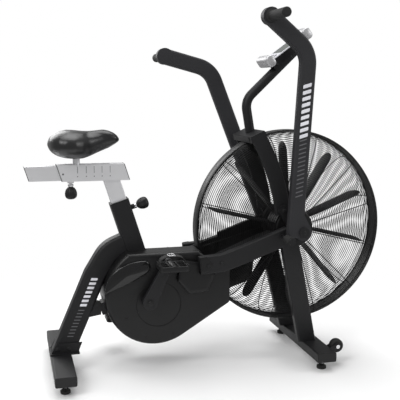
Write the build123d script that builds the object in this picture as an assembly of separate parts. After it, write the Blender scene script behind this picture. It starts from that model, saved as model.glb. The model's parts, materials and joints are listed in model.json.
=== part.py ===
from build123d import *
from math import atan2, cos, hypot, radians, sin, sqrt
import os

# Air bike: upright exercise bike with a caged fan, belt drive and swinging levers.
# Millimetres. +X is the rider's forward, +Y the rider's left, +Z up, floor at Z = 0.
# "right" pieces are on the -Y side and "left" pieces on the +Y side.

# ---- driving dimensions -------------------------------------------------------
crank_to_fan = 545.0        # crank axle to fan axle, along X
rear_reach = 410.0          # crank axle back to the tail of the saddle rail
crank_height = 265.0
fan_height = 494.0
stabiliser_length = 508.0   # end to end across the floor beams, with caps
cage_radius = 355.0
cage_half_depth = 84.0      # flat faces of the wire cage from the middle plane
cage_band_half = 31.0       # clamp band round the rim
cage_gap = 5.0              # cage to shroud and to belt cover
frame_inner = 108.0         # inner face of fork arms and front legs
frame_thick = 30.0
lever_inner = 145.0
lever_thick = 30.0
lever_wide = 58.0
grip_length = 140.0
grip_radius = 16.5
wall = 3.0
sheet_wall = 2.0
running_fit = 0.05          # radial clearance of a turning pair
slide_fit = 0.4             # clearance each side of a sliding pair
body_gap = 1.0              # space between pieces that pass each other

axle_radius = 8.5           # fan axle
stub_radius = 12.0          # lever pivot at each end of the axle
crank_radius = 10.0         # crank axle
crank_length = 153.0
crank_angle = 64.0          # right crank above the horizontal, pointing forward
pulley_radius = 75.0        # belt line of the big pulley
pulley_ratio = 4.0          # fan turns per crank turn
belt_middle = 97.0          # middle plane of the belt
belt_width = 10.0
belt_thick = 4.0
fan_tip_radius = 315.0
fan_blades = 10
blade_half = 46.0           # half the axial width of a fan blade

seat_tilt = 17.5            # seat tube leans back from vertical
tube_deep = 68.0            # seat tube, front to back
tube_wide = 60.0
tube_length = 219.0
bush_wall = 4.0             # plastic liner in the seat tube
post_insert = 159.0
rail_height = 50.0
rail_wide = 50.0
rail_top = 739.0            # top of the outer rail sleeve
saddle_length = 248.0
saddle_wide = 212.0
saddle_height = 92.0

mast_radius = 17.0
console_long = 200.0
console_wide = 112.0
console_thick = 26.0

foot_radius = 17.0
foot_thread = 5.0
wheel_radius = 25.0
wheel_wide = 24.0

# ---- stations worked out from them ---------------------------------------------
overall_length = rear_reach + crank_to_fan + cage_radius
fan_x = overall_length / 2 - cage_radius
crank_x = fan_x - crank_to_fan
fan_small_radius = pulley_radius / pulley_ratio
shroud_right_face = -(cage_half_depth + cage_gap + wall)
cover_inner = cage_half_depth + cage_gap
cover_left_face = frame_inner - body_gap
frame_outer = frame_inner + frame_thick
frame_middle = frame_inner + frame_thick / 2
lever_middle = lever_inner + lever_thick / 2
lever_outer = lever_inner + lever_thick
stretch = crank_to_fan / 545.0      # pieces that span crank to fan stretch with it

os.makedirs("parts", exist_ok=True)


def save(name, *solids):
    """Write one node: every solid given, as one STEP file."""
    flat = []
    for shape in solids:
        flat.extend(shape.solids())
    export_step(Compound(children=flat) if len(flat) > 1 else flat[0], f"parts/{name}.step")


def at_crank(x, z):
    """A point of the rear half: x from the crank axle, z from the floor."""
    return (crank_x + x, z)


def at_fan(x, z):
    """A point of the front half: x from the fan axle, scaled back along the span behind it."""
    return (fan_x + (x * stretch if x < -80 else x), z)


def across(sketch, y_from, y_to):
    """Extrude an XZ-plane sketch from y_from to y_to."""
    low, high = min(y_from, y_to), max(y_from, y_to)
    return Pos(0, low, 0) * extrude(sketch, amount=high - low, dir=(0, 1, 0))


def outline(*points):
    """A filled polygon drawn in the XZ plane."""
    return make_face(Polyline(*[(x, 0, z) for x, z in points], close=True))


upright_plane = Plane(origin=(0, 0, 0), x_dir=(1, 0, 0), z_dir=(0, -1, 0))


def disc(centre, radius):
    """A filled circle drawn in the XZ plane."""
    return upright_plane * Pos(*centre) * Circle(radius)


def strap(centre_a, radius_a, centre_b, radius_b):
    """Two circles and the tangents that wrap them, drawn in the XZ plane."""
    circles = Pos(*centre_a) * Circle(radius_a) + Pos(*centre_b) * Circle(radius_b)
    return upright_plane * make_hull(circles.edges())


def drum(centre, radius, y_from, y_to):
    """A cylinder along Y."""
    return across(disc(centre, radius), y_from, y_to)


def ring(centre, outer, inner, y_from, y_to):
    """A tube along Y, cut clean through."""
    low, high = min(y_from, y_to), max(y_from, y_to)
    return drum(centre, outer, low, high) - drum(centre, inner, low - 1, high + 1)


def along(start, end, section):
    """Carry a flat section from start to end; its local x stays level across the line."""
    line = Edge.make_line(start, end)
    direction = (Vector(*end) - Vector(*start)).normalized()
    plane = Plane(origin=start, x_dir=(0, 1, 0), z_dir=direction)
    return extrude(plane * section, amount=line.length)


def rod(start, end, radius):
    """A round bar between two points."""
    return along(start, end, Circle(radius))


def tube(path, section, inner):
    """Sweep a hollow section along a path."""
    start = Plane(origin=path @ 0, x_dir=(0, 1, 0), z_dir=path % 0)
    return sweep(start * section, path=path) - sweep(start * inner, path=path)


def bend(points, radius):
    """A centre line in the XZ plane with rounded corners."""
    return FilletPolyline(*points, radius=radius)


def mirrored(shape):
    """The same piece on the other side of the bike."""
    return mirror(shape, about=Plane.XZ)


def rounded(width, height, radius):
    return RectangleRounded(width, height, radius)


fan_axis = (fan_x, fan_height)
crank_axis = (crank_x, crank_height)

# ---- floor beams, feet and transport wheels -------------------------------------
beam_wide = 72.0
beam_high = 35.0
beam_low = 37.0
beam_top = beam_low + beam_high
cap_thick = 6.0
rear_beam_x = crank_x - 302.0
front_beam_x = fan_x + 65.0
half_beam = stabiliser_length / 2 - cap_thick
foot_y = half_beam - 44.0
nut_height = 6.0
pad_height = 12.0
wheel_x = front_beam_x + beam_wide / 2 + wheel_radius + 4.0
wheel_z = 72.0
wheel_y = half_beam - 66.0
wheel_axle_radius = 4.0


def floor_beam(x):
    """Flat rectangular tube across the bike, with clearance holes for the feet."""
    plane = Plane(origin=(x, -half_beam, beam_low + beam_high / 2), x_dir=(1, 0, 0), z_dir=(0, 1, 0))
    shell = extrude(plane * rounded(beam_wide, beam_high, 6), amount=2 * half_beam)
    shell -= extrude(plane * rounded(beam_wide - 2 * wall, beam_high - 2 * wall, 3), amount=2 * half_beam)
    for y in (-foot_y, foot_y):
        shell -= Pos(x, y, beam_low) * Cylinder(foot_thread + running_fit, 4 * wall)
    return shell


def beam_caps(x):
    """Moulded plugs: a face plate outside and a spigot inside each end of a beam."""
    caps = []
    for side in (-1, 1):
        plane = Plane(origin=(x, side * half_beam, beam_low + beam_high / 2), x_dir=(1, 0, 0),
                      z_dir=(0, side, 0))
        plate = extrude(plane * rounded(beam_wide, beam_high, 6), amount=cap_thick)
        plate = fillet(plate.faces().sort_by(Axis.Y)[-1 if side > 0 else 0].edges(), 2.5)
        inside = extrude(plane * rounded(beam_wide - 2 * wall, beam_high - 2 * wall, 3), amount=-14)
        caps.append(plate + inside)
    return caps


def levelling_foot(x, y):
    """Round rubber-shod pad on a threaded stem that screws up into the beam."""
    pad = Pos(x, y, pad_height / 2) * Cone(foot_radius, foot_radius * 0.72, pad_height)
    pad += Pos(x, y, pad_height + 3) * extrude(RegularPolygon(9, 6), amount=nut_height)
    pad += Pos(x, y, pad_height + 1.5) * Cylinder(foot_thread, 3)
    stem = Pos(x, y, (pad_height + beam_low) / 2 + 9) * Cylinder(foot_thread, beam_low - pad_height + 14)
    return pad + stem


save("floor_beams", floor_beam(rear_beam_x), floor_beam(front_beam_x))
save("beam_caps", *beam_caps(rear_beam_x), *beam_caps(front_beam_x))
feet_places = [(x, y) for x in (rear_beam_x, front_beam_x) for y in (-foot_y, foot_y)]
save("levelling_feet", *[levelling_foot(x, y) for x, y in feet_places])

for side, sign in (("right", -1), ("left", 1)):
    centre = (wheel_x, wheel_z)
    tyre = ring(centre, wheel_radius, wheel_axle_radius + running_fit,
                sign * wheel_y - wheel_wide / 2, sign * wheel_y + wheel_wide / 2)
    tyre = fillet(tyre.edges().filter_by(GeomType.CIRCLE).sort_by(SortBy.RADIUS)[-2:], 4)
    save(f"{side}_wheel", tyre)

brackets = []
wheel_axles = []
for sign in (-1, 1):
    for flank in (-1, 1):
        y = sign * wheel_y + flank * (wheel_wide / 2 + body_gap + 1.5)
        beam_face = front_beam_x + beam_wide / 2
        ear = outline((beam_face, beam_low + 4), (beam_face, beam_top - 2), (wheel_x - 4, wheel_z + 11),
                      (wheel_x + 8, wheel_z + 8), (wheel_x + 10, wheel_z - 6), (wheel_x, wheel_z - 12))
        axle_hole = drum((wheel_x, wheel_z), wheel_axle_radius, y - 9, y + 9)
        brackets.append(across(ear, y - 1.5, y + 1.5) - axle_hole)
    reach = wheel_wide / 2 + body_gap + 3
    shaft = drum((wheel_x, wheel_z), wheel_axle_radius, sign * wheel_y - reach, sign * wheel_y + reach)
    for flank in (-1, 1):
        head_from = sign * wheel_y + flank * reach
        shaft += drum((wheel_x, wheel_z), 7, head_from, head_from + flank * 4)
    wheel_axles.append(shaft)
save("wheel_brackets", *brackets)
save("wheel_axles", *wheel_axles)

# ---- rear leg, seat tube and the spine inside the shroud ------------------------
leg_deep = 77.0
leg_wide = 60.0
tilt = radians(seat_tilt)
seat_foot = at_crank(-20.0, 395.0)


def up_seat(distance, forward=0.0, y=0.0):
    """A point up the leaning seat tube axis, and square to it towards the front."""
    return (
        seat_foot[0] - sin(tilt) * distance + cos(tilt) * forward,
        y,
        seat_foot[1] + cos(tilt) * distance + sin(tilt) * forward,
    )


seat_plane = Plane(origin=up_seat(0), x_dir=(cos(tilt), 0, sin(tilt)), z_dir=(-sin(tilt), 0, cos(tilt)))


def up_tube(width, depth, radius, low, high):
    """A rounded bar along the seat tube axis, width front to back."""
    return extrude(seat_plane.offset(low) * rounded(width, depth, radius), amount=high - low)


leg_points = [
    (rear_beam_x - 11, 0, beam_top - 40),
    (crank_x - 176.5, 0, 345.0),
    (crank_x - 125.0, 0, 428.0),
    up_seat(72.0),
]
leg_path = bend(leg_points, 85)
leg_start = Plane(origin=leg_path @ 0, x_dir=(0, 1, 0), z_dir=leg_path % 0)
leg_section = rounded(leg_wide, leg_deep, 12)
leg_hollow = rounded(leg_wide - 2 * wall, leg_deep - 2 * wall, 9)
seat_tube_space = up_tube(tube_deep, tube_wide + 4, 8, -20, tube_length)
under_beam_top = Pos(0, 0, beam_top - 200) * Box(4000, 1000, 400)
leg_solid = sweep(leg_start * leg_section, path=leg_path)

# link tube from the rear leg to the back of the spine, through the shroud wall
link_front = crank_x - 158.0
link_profile = outline((crank_x - 235, 192), (link_front, 204), (link_front, 242), (crank_x - 222, 262))
link = across(link_profile, -24, 24)
link_hollow = outline((crank_x - 235, 195), (link_front + 1, 207),
                      (link_front + 1, 239), (crank_x - 222, 259))
link -= across(link_hollow, -24 + wall, 24 - wall)
rear_leg = leg_solid + link - sweep(leg_start * leg_hollow, path=leg_path)
rear_leg -= seat_tube_space
rear_leg -= under_beam_top
rear_leg = rear_leg.solids().sort_by(SortBy.VOLUME)[-1]
shoe = Pos(rear_beam_x + 12, 0, beam_top + 2.5) * Box(104, leg_wide + 28, 5) - leg_solid
for sign in (-1, 1):
    cheek = outline((rear_beam_x - 34, beam_top + 5), (rear_beam_x + 60, beam_top + 5),
                    (rear_beam_x + 74, beam_top + 40), (rear_beam_x - 16, beam_top + 40))
    shoe += across(cheek, sign * leg_wide / 2, sign * (leg_wide / 2 + 4))
rear_leg += shoe
save("rear_leg", rear_leg.solids().sort_by(SortBy.VOLUME)[-1])

seat_tube = up_tube(tube_deep, tube_wide, 8, 0, tube_length)
seat_tube -= up_tube(tube_deep - 2 * wall, tube_wide - 2 * wall, 5, -1, tube_length + 1)
post_deep = tube_deep - 2 * wall - 2 * bush_wall
post_wide = tube_wide - 2 * wall - 2 * bush_wall
pin_height = tube_length - 34.0
pin_radius = 5.0
pin_hole = rod(up_seat(pin_height, 0), up_seat(pin_height, tube_deep), pin_radius + slide_fit)
tube_front = tube_deep / 2
boss_length = 17.0
seat_tube += rod(up_seat(pin_height, tube_front - 1), up_seat(pin_height, tube_front + boss_length), 9)
seat_tube -= pin_hole
save("seat_tube", seat_tube)

bush_length = 70.0
liner = up_tube(tube_deep - 2 * wall, tube_wide - 2 * wall, 5, tube_length - bush_length, tube_length)
liner += up_tube(tube_deep, tube_wide, 8, tube_length, tube_length + 4)
liner -= up_tube(post_deep + 2 * slide_fit, post_wide + 2 * slide_fit, 3, 0, tube_length + 9)
save("seat_tube_liner", liner - pin_hole)


# the spine runs from the seat tube foot past the crank shell to the fork arms
spine_wide = 50.0
shell_radius = 24.0
shell_half = 34.0
cross_x = crank_x + 176.0 * stretch
cross_z = 364.0
cross_size = 40.0
spine_back = (link_front, 0, 223)
spine_top = (seat_foot[0] + 4, 0, seat_foot[1] - 2)
crank_centre = (crank_x, 0, crank_height)


def spine_bars(skin):
    """The spine's three arms and its cross tube, each face moved in by skin."""
    across_it = spine_wide - 2 * skin
    bars = along(spine_top, crank_centre, Rectangle(across_it, 50 - 2 * skin))
    bars += along(crank_centre, (cross_x, 0, cross_z), Rectangle(across_it, 44 - 2 * skin))
    bars += along(crank_centre, spine_back, Rectangle(across_it, 44 - 2 * skin))
    side = cross_size - 2 * skin
    bars += Pos(cross_x, 0, cross_z) * Box(side, 2 * frame_inner, side)
    return bars


spine = spine_bars(0) - spine_bars(wall) + drum(crank_axis, shell_radius + 6, -shell_half, shell_half)
spine -= drum(crank_axis, shell_radius, -shell_half - 1, shell_half + 1)
spine -= up_tube(tube_deep, tube_wide + 1, 8, 0, tube_length)
spine -= across(outline((0 - 900, 0), (link_front, 0), (link_front, 900), (-900, 900)), -100, 100)
save("spine_frame", spine.solids().sort_by(SortBy.VOLUME)[-1])

# ---- fork arms, front legs, foot pegs --------------------------------------------
arm_deep = 64.0
arm_line = [at_fan(-369, 385), at_fan(-285, 391), at_fan(-205, 417), at_fan(-40, 478)]


def fork_arm():
    """Bowed box tube from the spine's cross tube to the axle, right-hand side."""
    path = bend([(x, -frame_middle, z) for x, z in arm_line], 110)
    hollow = rounded(frame_thick - 2 * wall, arm_deep - 2 * wall, 3)
    return tube(path, rounded(frame_thick, arm_deep, 6), hollow)


def front_leg():
    """Box tube from the floor beam up to the axle plate, splayed in at the foot."""
    path = FilletPolyline((fan_x + 58, -95, beam_top - 50), (fan_x - 24, -frame_middle, 388),
                          (fan_x - 36, -frame_middle, 455), radius=160)
    leg = tube(path, rounded(frame_thick, 66, 6), rounded(frame_thick - 2 * wall, 66 - 2 * wall, 3))
    return leg


axle_plate_radius = 45.5
plate_thick = 12.0
upright_foot = (fan_x - 54.0, fan_height + 72.0)
peg_axis = at_fan(-66, 475)
peg_radius = 15.0
peg_length = 84.0
peg_core = 6.0
arm_path = bend([(x, -frame_middle, z) for x, z in arm_line], 110)
arm_solid = sweep(Plane(origin=arm_path @ 0, x_dir=(0, 1, 0), z_dir=arm_path % 0)
                  * rounded(frame_thick, arm_deep, 6), path=arm_path)
plate = drum(fan_axis, axle_plate_radius, -frame_inner, -frame_outer)
plate_tab = across(strap(fan_axis, 30, upright_foot, 20), -frame_inner, -frame_inner - plate_thick)
arm = fork_arm() + plate + (plate_tab - plate - arm_solid)
arm -= drum(fan_axis, stub_radius, -frame_inner + 1, -frame_outer - 1)
arm += drum(peg_axis, peg_core, -frame_outer + 2, -frame_outer - 8 - peg_length)
arm += drum(peg_axis, 11, -frame_outer, -frame_outer - 5)
arm += drum(peg_axis, 12, -frame_outer - 8 - peg_length, -frame_outer - 13 - peg_length)
arm = arm.solids().sort_by(SortBy.VOLUME)[-1]
leg = front_leg() - arm_solid - drum(fan_axis, axle_plate_radius, -frame_inner + 1, -frame_outer - 1)
leg -= under_beam_top
leg = leg.solids().sort_by(SortBy.VOLUME)[-1]
save("fork_arms", arm, mirrored(arm))
save("front_legs", leg, mirrored(leg))
peg_sleeves = []
for sign in (-1, 1):
    peg_sleeves.append(ring(peg_axis, peg_radius, peg_core,
                            sign * (lever_outer + 3), sign * (frame_outer + 7 + peg_length)))
save("foot_peg_sleeves", *peg_sleeves)

# ---- fan axle and lever pivots -----------------------------------------------------
axle_half = frame_inner
pivot_end = lever_outer + 4.0
axle = drum(fan_axis, axle_radius, -axle_half, axle_half)
for sign in (-1, 1):
    axle += drum(fan_axis, stub_radius, sign * axle_half, sign * pivot_end)
save("fan_axle", axle)
bush_radius = stub_radius + 4.0
pivot_caps = []
lever_bushes = []
for sign in (-1, 1):
    pivot_caps.append(drum(fan_axis, 19, sign * pivot_end, sign * (pivot_end + 5)))
    lever_bushes.append(ring(fan_axis, bush_radius, stub_radius,
                             sign * (lever_inner - 4), sign * (lever_outer + 3)))
save("pivot_caps", *pivot_caps)
save("lever_bushes", *lever_bushes)

# ---- fan ---------------------------------------------------------------------------
bearing_outer = 20.0
bearing_wide = 12.0
bearing_y = 34.0
hub_radius = 62.0
hub_sleeve_end = belt_middle + belt_width / 2 + 1.0
hub = drum(fan_axis, hub_radius, -blade_half, blade_half)
hub -= ring(fan_axis, hub_radius - 6, bearing_outer + 7, -blade_half - 1, -blade_half + 34)
hub -= ring(fan_axis, hub_radius - 6, bearing_outer + 7, blade_half - 34, blade_half + 1)
hub += drum(fan_axis, bearing_outer - 6, blade_half, hub_sleeve_end)
hub -= drum(fan_axis, axle_radius + 1.5, -blade_half - 2, hub_sleeve_end + 2)
for sign in (-1, 1):
    seat_from = sign * (bearing_y - bearing_wide / 2)
    seat_to = sign * (blade_half + 0.01 if sign < 0 else bearing_y + 6)
    hub -= drum(fan_axis, bearing_outer, seat_from, seat_to)
save("fan_hub", hub.solids().sort_by(SortBy.VOLUME)[-1])
bearings = []
for sign in (-1, 1):
    bearings.append(ring(fan_axis, bearing_outer, axle_radius + running_fit,
                         sign * bearing_y - bearing_wide / 2, sign * bearing_y + bearing_wide / 2))
save("fan_bearings", *bearings)

blade_root = hub_radius
blade_thick = 2.5
blade_stop = 22.0              # the first blade stands this far above the front
blades = []
for n in range(fan_blades):
    spar = Pos((blade_root + fan_tip_radius) / 2, 0, 0) * Box(fan_tip_radius - blade_root, 2 * blade_half,
                                                              blade_thick)
    spar = fillet(spar.edges().filter_by(Axis.Z).sort_by(Axis.X)[-2:], blade_half * 0.8)
    spar = Rot(0, 360.0 / fan_blades * n - blade_stop, 0) * spar
    blades.append(Pos(fan_x, 0, fan_height) * spar - drum(fan_axis, hub_radius, -80, 80))
save("fan_blades", *blades)

# ---- wire cage ----------------------------------------------------------------------
wire = 2.4
shoulder_radius = 300.0 / 355.0 * cage_radius
plate_radius = 70.0
spokes = 12
cage_rings = 7


def cage_half(sign, hole):
    """One dished half: flat rings, radial wires over the shoulder, a rim hoop and a middle plate."""
    face = cage_half_depth
    pieces = [ring((0, 0), plate_radius, hole, sign * (face - 3), sign * face)]
    for n in range(1, cage_rings + 1):
        radius = plate_radius + (shoulder_radius - plate_radius) * n / cage_rings
        pieces.append(ring((0, 0), radius, radius - wire, sign * (face - wire), sign * face))
    rim_inner = cage_radius - 3 * wire
    pieces.append(ring((0, 0), cage_radius - 3.2, rim_inner, sign * 0.2, sign * cage_band_half))
    for n in range(spokes):
        bar = along((plate_radius - 5, sign * (face - wire / 2), 0),
                    (shoulder_radius - 1, sign * (face - wire / 2), 0), Rectangle(wire, wire))
        drop = along((shoulder_radius - wire, sign * (face - wire / 2), 0),
                     (cage_radius - 2 * wire, sign * (cage_band_half - 3), 0), Rectangle(wire, wire))
        pieces.append(Rot(0, -(15.5 + 30.0 * n), 0) * (bar + drop))
    half = pieces[0].fuse(*pieces[1:])
    return Pos(fan_x, 0, fan_height) * half


cage_hub_hole = bearing_outer - 6 + 3
save("cage_right", cage_half(-1, axle_radius))
save("cage_left", cage_half(1, cage_hub_hole))
save("cage_band", ring(fan_axis, cage_radius, cage_radius - 3, -cage_band_half, cage_band_half))

# ---- drive: crank axle, pulleys, belt, tensioner --------------------------------------
belt_low = belt_middle - belt_width / 2
belt_high = belt_middle + belt_width / 2
crank_inner = cover_left_face + 8.0
crank_thick = 18.0
crank_outer = crank_inner + crank_thick
save("crank_axle", drum(crank_axis, crank_radius, -crank_outer - 1, crank_outer + 1))
crank_bearings = []
for sign in (-1, 1):
    crank_bearings.append(ring(crank_axis, shell_radius, crank_radius + running_fit,
                               sign * (shell_half - 12), sign * shell_half))
save("crank_bearings", *crank_bearings)

groove = 1.0
big_rim = ring(crank_axis, pulley_radius - groove, pulley_radius - 9, belt_low - 1, belt_high + 1)
big_web = ring(crank_axis, pulley_radius - 8.5, crank_radius, belt_middle - 2, belt_middle + 2)
big_hub = ring(crank_axis, crank_radius + 9, crank_radius, belt_low - 6, belt_high + 2)
big_pulley = big_rim + big_web + big_hub
for n in range(5):
    angle = radians(72 * n)
    big_pulley -= drum((crank_x + 44 * cos(angle), crank_height + 44 * sin(angle)), 13, belt_low, belt_high)
save("drive_pulley", big_pulley)
save("fan_pulley", ring(fan_axis, fan_small_radius - groove, bearing_outer - 6,
                        belt_low - 1, belt_high + 1))


def belt_loop(extra):
    """Outline round both pulleys at their belt radii plus extra, by the outer tangents."""
    dx = fan_axis[0] - crank_axis[0]
    dz = fan_axis[1] - crank_axis[1]
    span = hypot(dx, dz)
    lean = atan2(dz, dx)
    swing = atan2(sqrt(span ** 2 - (pulley_radius - fan_small_radius) ** 2),
                  pulley_radius - fan_small_radius)
    corners = []
    for centre, radius in ((crank_axis, pulley_radius + extra), (fan_axis, fan_small_radius + extra)):
        for turn in (1, -1):
            angle = lean + turn * swing
            corners.append((centre[0] + radius * cos(angle), centre[1] + radius * sin(angle)))
    quad = outline(corners[0], corners[1], corners[3], corners[2])
    return quad + disc(crank_axis, pulley_radius + extra) + disc(fan_axis, fan_small_radius + extra)


belt = across(belt_loop(belt_thick), belt_low, belt_high)
belt -= across(belt_loop(0), belt_low - 1, belt_high + 1)
save("drive_belt", belt)


def right_crank():
    """Forged crank: round boss, tapering blade, round pedal eye, pointing up its own +X."""
    blade = across(strap((0, 0), 27, (crank_length, 0), 15), -crank_inner, -crank_outer)
    blade = fillet(blade.faces().sort_by(Axis.Y)[0].edges(), 4)
    blade -= drum((0, 0), crank_radius, -crank_inner + 1, -crank_outer - 1)
    blade -= drum((crank_length, 0), 7, -crank_inner + 1, -crank_outer - 1)
    return blade


def crank_point(distance, side):
    """Centre of a station along the right (-1) or left (+1) crank."""
    angle = radians(crank_angle) + (radians(180) if side > 0 else 0)
    return (crank_x + distance * cos(angle), crank_height + distance * sin(angle))


place = Pos(crank_x, 0, crank_height)
save("cranks", place * Rot(0, -crank_angle, 0) * right_crank(),
     place * Rot(0, 180 - crank_angle, 0) * mirrored(right_crank()))
crank_nuts = []
pedal_spindles = []
pedal_wide = 92.0
pedal_in = crank_outer + 9.0
for sign in (-1, 1):
    crank_nuts.append(drum(crank_axis, 13, sign * (crank_outer + 1), sign * (crank_outer + 7)))
    eye = crank_point(crank_length, sign)
    pedal_spindles.append(drum(eye, 7, sign * crank_inner, sign * (pedal_in - 2))
                          + drum(eye, 5, sign * (pedal_in - 2), sign * (pedal_in + pedal_wide - 8)))
save("crank_nuts", *crank_nuts)
save("pedal_spindles", *pedal_spindles)


def pedal(side):
    """Platform pedal: two side plates, a cross-ribbed deck and a hollow barrel for the spindle."""
    eye = crank_point(crank_length, side)
    low = side * pedal_in
    high = side * (pedal_in + pedal_wide)
    x, z = eye
    deck = outline((x - 50, z - 9), (x - 42, z - 13), (x + 42, z - 13), (x + 50, z - 9), (x + 50, z + 9),
                   (x + 42, z + 13), (x - 42, z + 13), (x - 50, z + 9))
    body = across(deck, low, high)
    for slot_x in (-31, 31):
        slot = outline((x + slot_x - 13, z - 20), (x + slot_x + 13, z - 20), (x + slot_x + 13, z + 20),
                       (x + slot_x - 13, z + 20))
        mid = (low + high) / 2
        body -= across(slot, mid - 38, mid - 4)
        body -= across(slot, mid + 4, mid + 38)
    body -= drum(eye, 5 + running_fit, side * (pedal_in - 1), side * (pedal_in + pedal_wide - 6))
    return body


def toe_strap(side):
    """Broad strap arched over the deck, with its ends fixed to the deck's two sides."""
    x, z = crank_point(crank_length, side)
    low = side * (pedal_in + 22)
    high = side * (pedal_in + 64)
    top = Plane(origin=(x, 0, z + 13.2), x_dir=(1, 0, 0), z_dir=(0, -1, 0))
    arch = top * (Pos(0, 2) * Ellipse(46, 24) - Pos(0, 2) * Ellipse(43, 21))
    arch = arch & (top * Pos(0, 25) * Rectangle(120, 50))
    return across(arch, low, high).solids().sort_by(SortBy.VOLUME)[-1]


for side, sign in (("right", -1), ("left", 1)):
    save(f"{side}_pedal", pedal(sign))
    save(f"{side}_toe_strap", toe_strap(sign))

# ---- shroud and belt cover -------------------------------------------------------------
belly = at_crank(30.0, 280.0)
belly_radius = 180.0
nose = at_fan(-242, 236)
shroud_top = 430.0
shroud_round = 14.0
top_slope = 0.24              # fall of the top towards the left face, per unit across
rim_clear = cage_radius + cage_gap


def shroud_outline(grow):
    """Round belly, straight underside up to the nose, flat top, front edge inside the cage."""
    radius = belly_radius + grow
    dx = nose[0] - belly[0]
    dz = nose[1] - belly[1]
    reach = hypot(dx, dz)
    lean = atan2(dz, dx) - atan2(sqrt(reach ** 2 - belly_radius ** 2), belly_radius)
    tangent = (belly[0] + radius * cos(lean), belly[1] + radius * sin(lean))
    tip = (nose[0] + grow * cos(lean), nose[1] + grow * sin(lean))
    top = shroud_top + grow
    shape = disc(belly, radius) + outline(belly, tangent, tip, (nose[0], at_fan(0, 385)[1]),
                                          (at_fan(-330, 0)[0], 412), (at_fan(-360, 0)[0], top),
                                          (belly[0] - 60, top))
    return shape & outline((0 - 900, 0), (900, 0), (900, top), (-900, top))


def above_slope(drop):
    """The space over the shroud's top on the left, where it falls towards the outer face."""
    fall = cover_left_face * top_slope
    edge = Polyline((-1, shroud_top - drop), (0, shroud_top - drop),
                    (cover_left_face, shroud_top - fall - drop),
                    (300, shroud_top - fall - drop - 60), (300, 900), (-1, 900), close=True)
    behind = Plane(origin=(-900, 0, 0), x_dir=(0, 1, 0), z_dir=(1, 0, 0))
    return extrude(behind * make_face(edge), amount=1800)


def shell(face, sign):
    """Half shroud: a side panel and a rim wall up to the middle plane, open round the cage."""
    outer = across(shroud_outline(0), 0.1 * sign, face)
    outer = fillet(outer.faces().sort_by(Axis.Y)[-1 if sign > 0 else 0].edges(), shroud_round)
    inner = across(shroud_outline(-wall), -1 * sign, face - sign * wall)
    inner = fillet(inner.faces().sort_by(Axis.Y)[-1 if sign > 0 else 0].edges(), shroud_round - wall)
    if sign > 0:
        outer -= above_slope(0)
        inner -= above_slope(wall)
    return outer - inner - drum(fan_axis, rim_clear, -cover_inner, cover_inner)


seat_hole = up_tube(tube_deep + 3, tube_wide + 3, 9, -5, tube_length)
link_hole = across(outline((crank_x - 240, 180), (crank_x - 120, 190), (crank_x - 120, 256),
                           (crank_x - 240, 275)), -26, 26)
leg_hole = sweep(leg_start * rounded(leg_wide + 4, leg_deep + 4, 13), path=leg_path)
cover_disc_centre = at_crank(37.0, 246.0)
cover_disc_radius = 78.0
crank_hole = drum(crank_axis, crank_radius + 3, -200, 200)
cross_hole = Pos(cross_x, 0, cross_z) * Box(cross_size + 2, 300, cross_size + 2)


def arm_boot(sign):
    """Moulded bulge that closes the shroud round the rear end of a fork arm."""
    base = shroud_right_face + 1 if sign < 0 else cover_left_face - 1
    boot = across(outline(at_fan(-433, 407), at_fan(-346, 388), at_fan(-309, 349), at_fan(-335, 289),
                          at_fan(-400, 284), at_fan(-440, 330)), base, sign * (crank_inner - 3.0))
    arm_space = across(outline(at_fan(-374, 344), at_fan(-250, 344), at_fan(-250, 440), at_fan(-374, 440)),
                       sign * (frame_inner - 0.4), sign * 200)
    return boot - arm_space

right_shell = shell(shroud_right_face, -1) + arm_boot(-1) - seat_hole - link_hole - leg_hole - cross_hole
right_shell -= drum(cover_disc_centre, cover_disc_radius + 1, shroud_right_face - 5, shroud_right_face + 8)
save("shroud_right", right_shell.solids().sort_by(SortBy.VOLUME)[-1])

disc_plate = drum(cover_disc_centre, cover_disc_radius, shroud_right_face + 4, shroud_right_face + 1)
disc_plate += ring(cover_disc_centre, cover_disc_radius + 6, cover_disc_radius - 8,
                   shroud_right_face + wall + 0.2, shroud_right_face + wall + 3)
save("shroud_disc", (disc_plate - crank_hole).solids().sort_by(SortBy.VOLUME)[-1])

left_shell = shell(cover_left_face, 1) + arm_boot(1)
left_shell = left_shell - seat_hole - link_hole - leg_hole - cross_hole - crank_hole
left_shell -= across(belt_loop(belt_thick + 4), belt_low - 3, belt_high + 1.5)
save("shroud_left", left_shell.solids().sort_by(SortBy.VOLUME)[-1])


def belt_cover(inset, y_from, y_to):
    """Tapered box round the belt between the shroud's front edge and the axle."""
    rear = nose[0] + 0.1
    lower = [(rear, nose[1] - 14 + inset), at_fan(-106 - inset, 267 + 1.4 * inset),
             at_fan(-92 - inset, 400 + 0.6 * inset), at_fan(-50 - inset, 424 + 1.2 * inset)]
    upper = [at_fan(-96, 509 - 1.1 * inset), (rear, 456 - 1.1 * inset)]
    end = cover_end_radius - inset
    box = outline(*lower, (fan_x, fan_height - end), (fan_x, fan_height + end), *upper)
    return across(box + disc(fan_axis, end), y_from, y_to)


cover_end_radius = 44.0
cover = belt_cover(0, cover_inner, cover_left_face)
cover -= belt_cover(sheet_wall, cover_inner + sheet_wall, cover_left_face - sheet_wall)
cover -= drum(fan_axis, bearing_outer - 3, 0, cover_left_face - sheet_wall - 0.1)
cover -= drum(fan_axis, stub_radius + 1, 0, 200)
cover -= across(outline((-900, 0), (nose[0] + 6, 0), (nose[0] + 6, 900), (-900, 900)),
                cover_inner + sheet_wall, cover_left_face - sheet_wall)
save("belt_cover", cover.solids().sort_by(SortBy.VOLUME)[-1])

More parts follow.
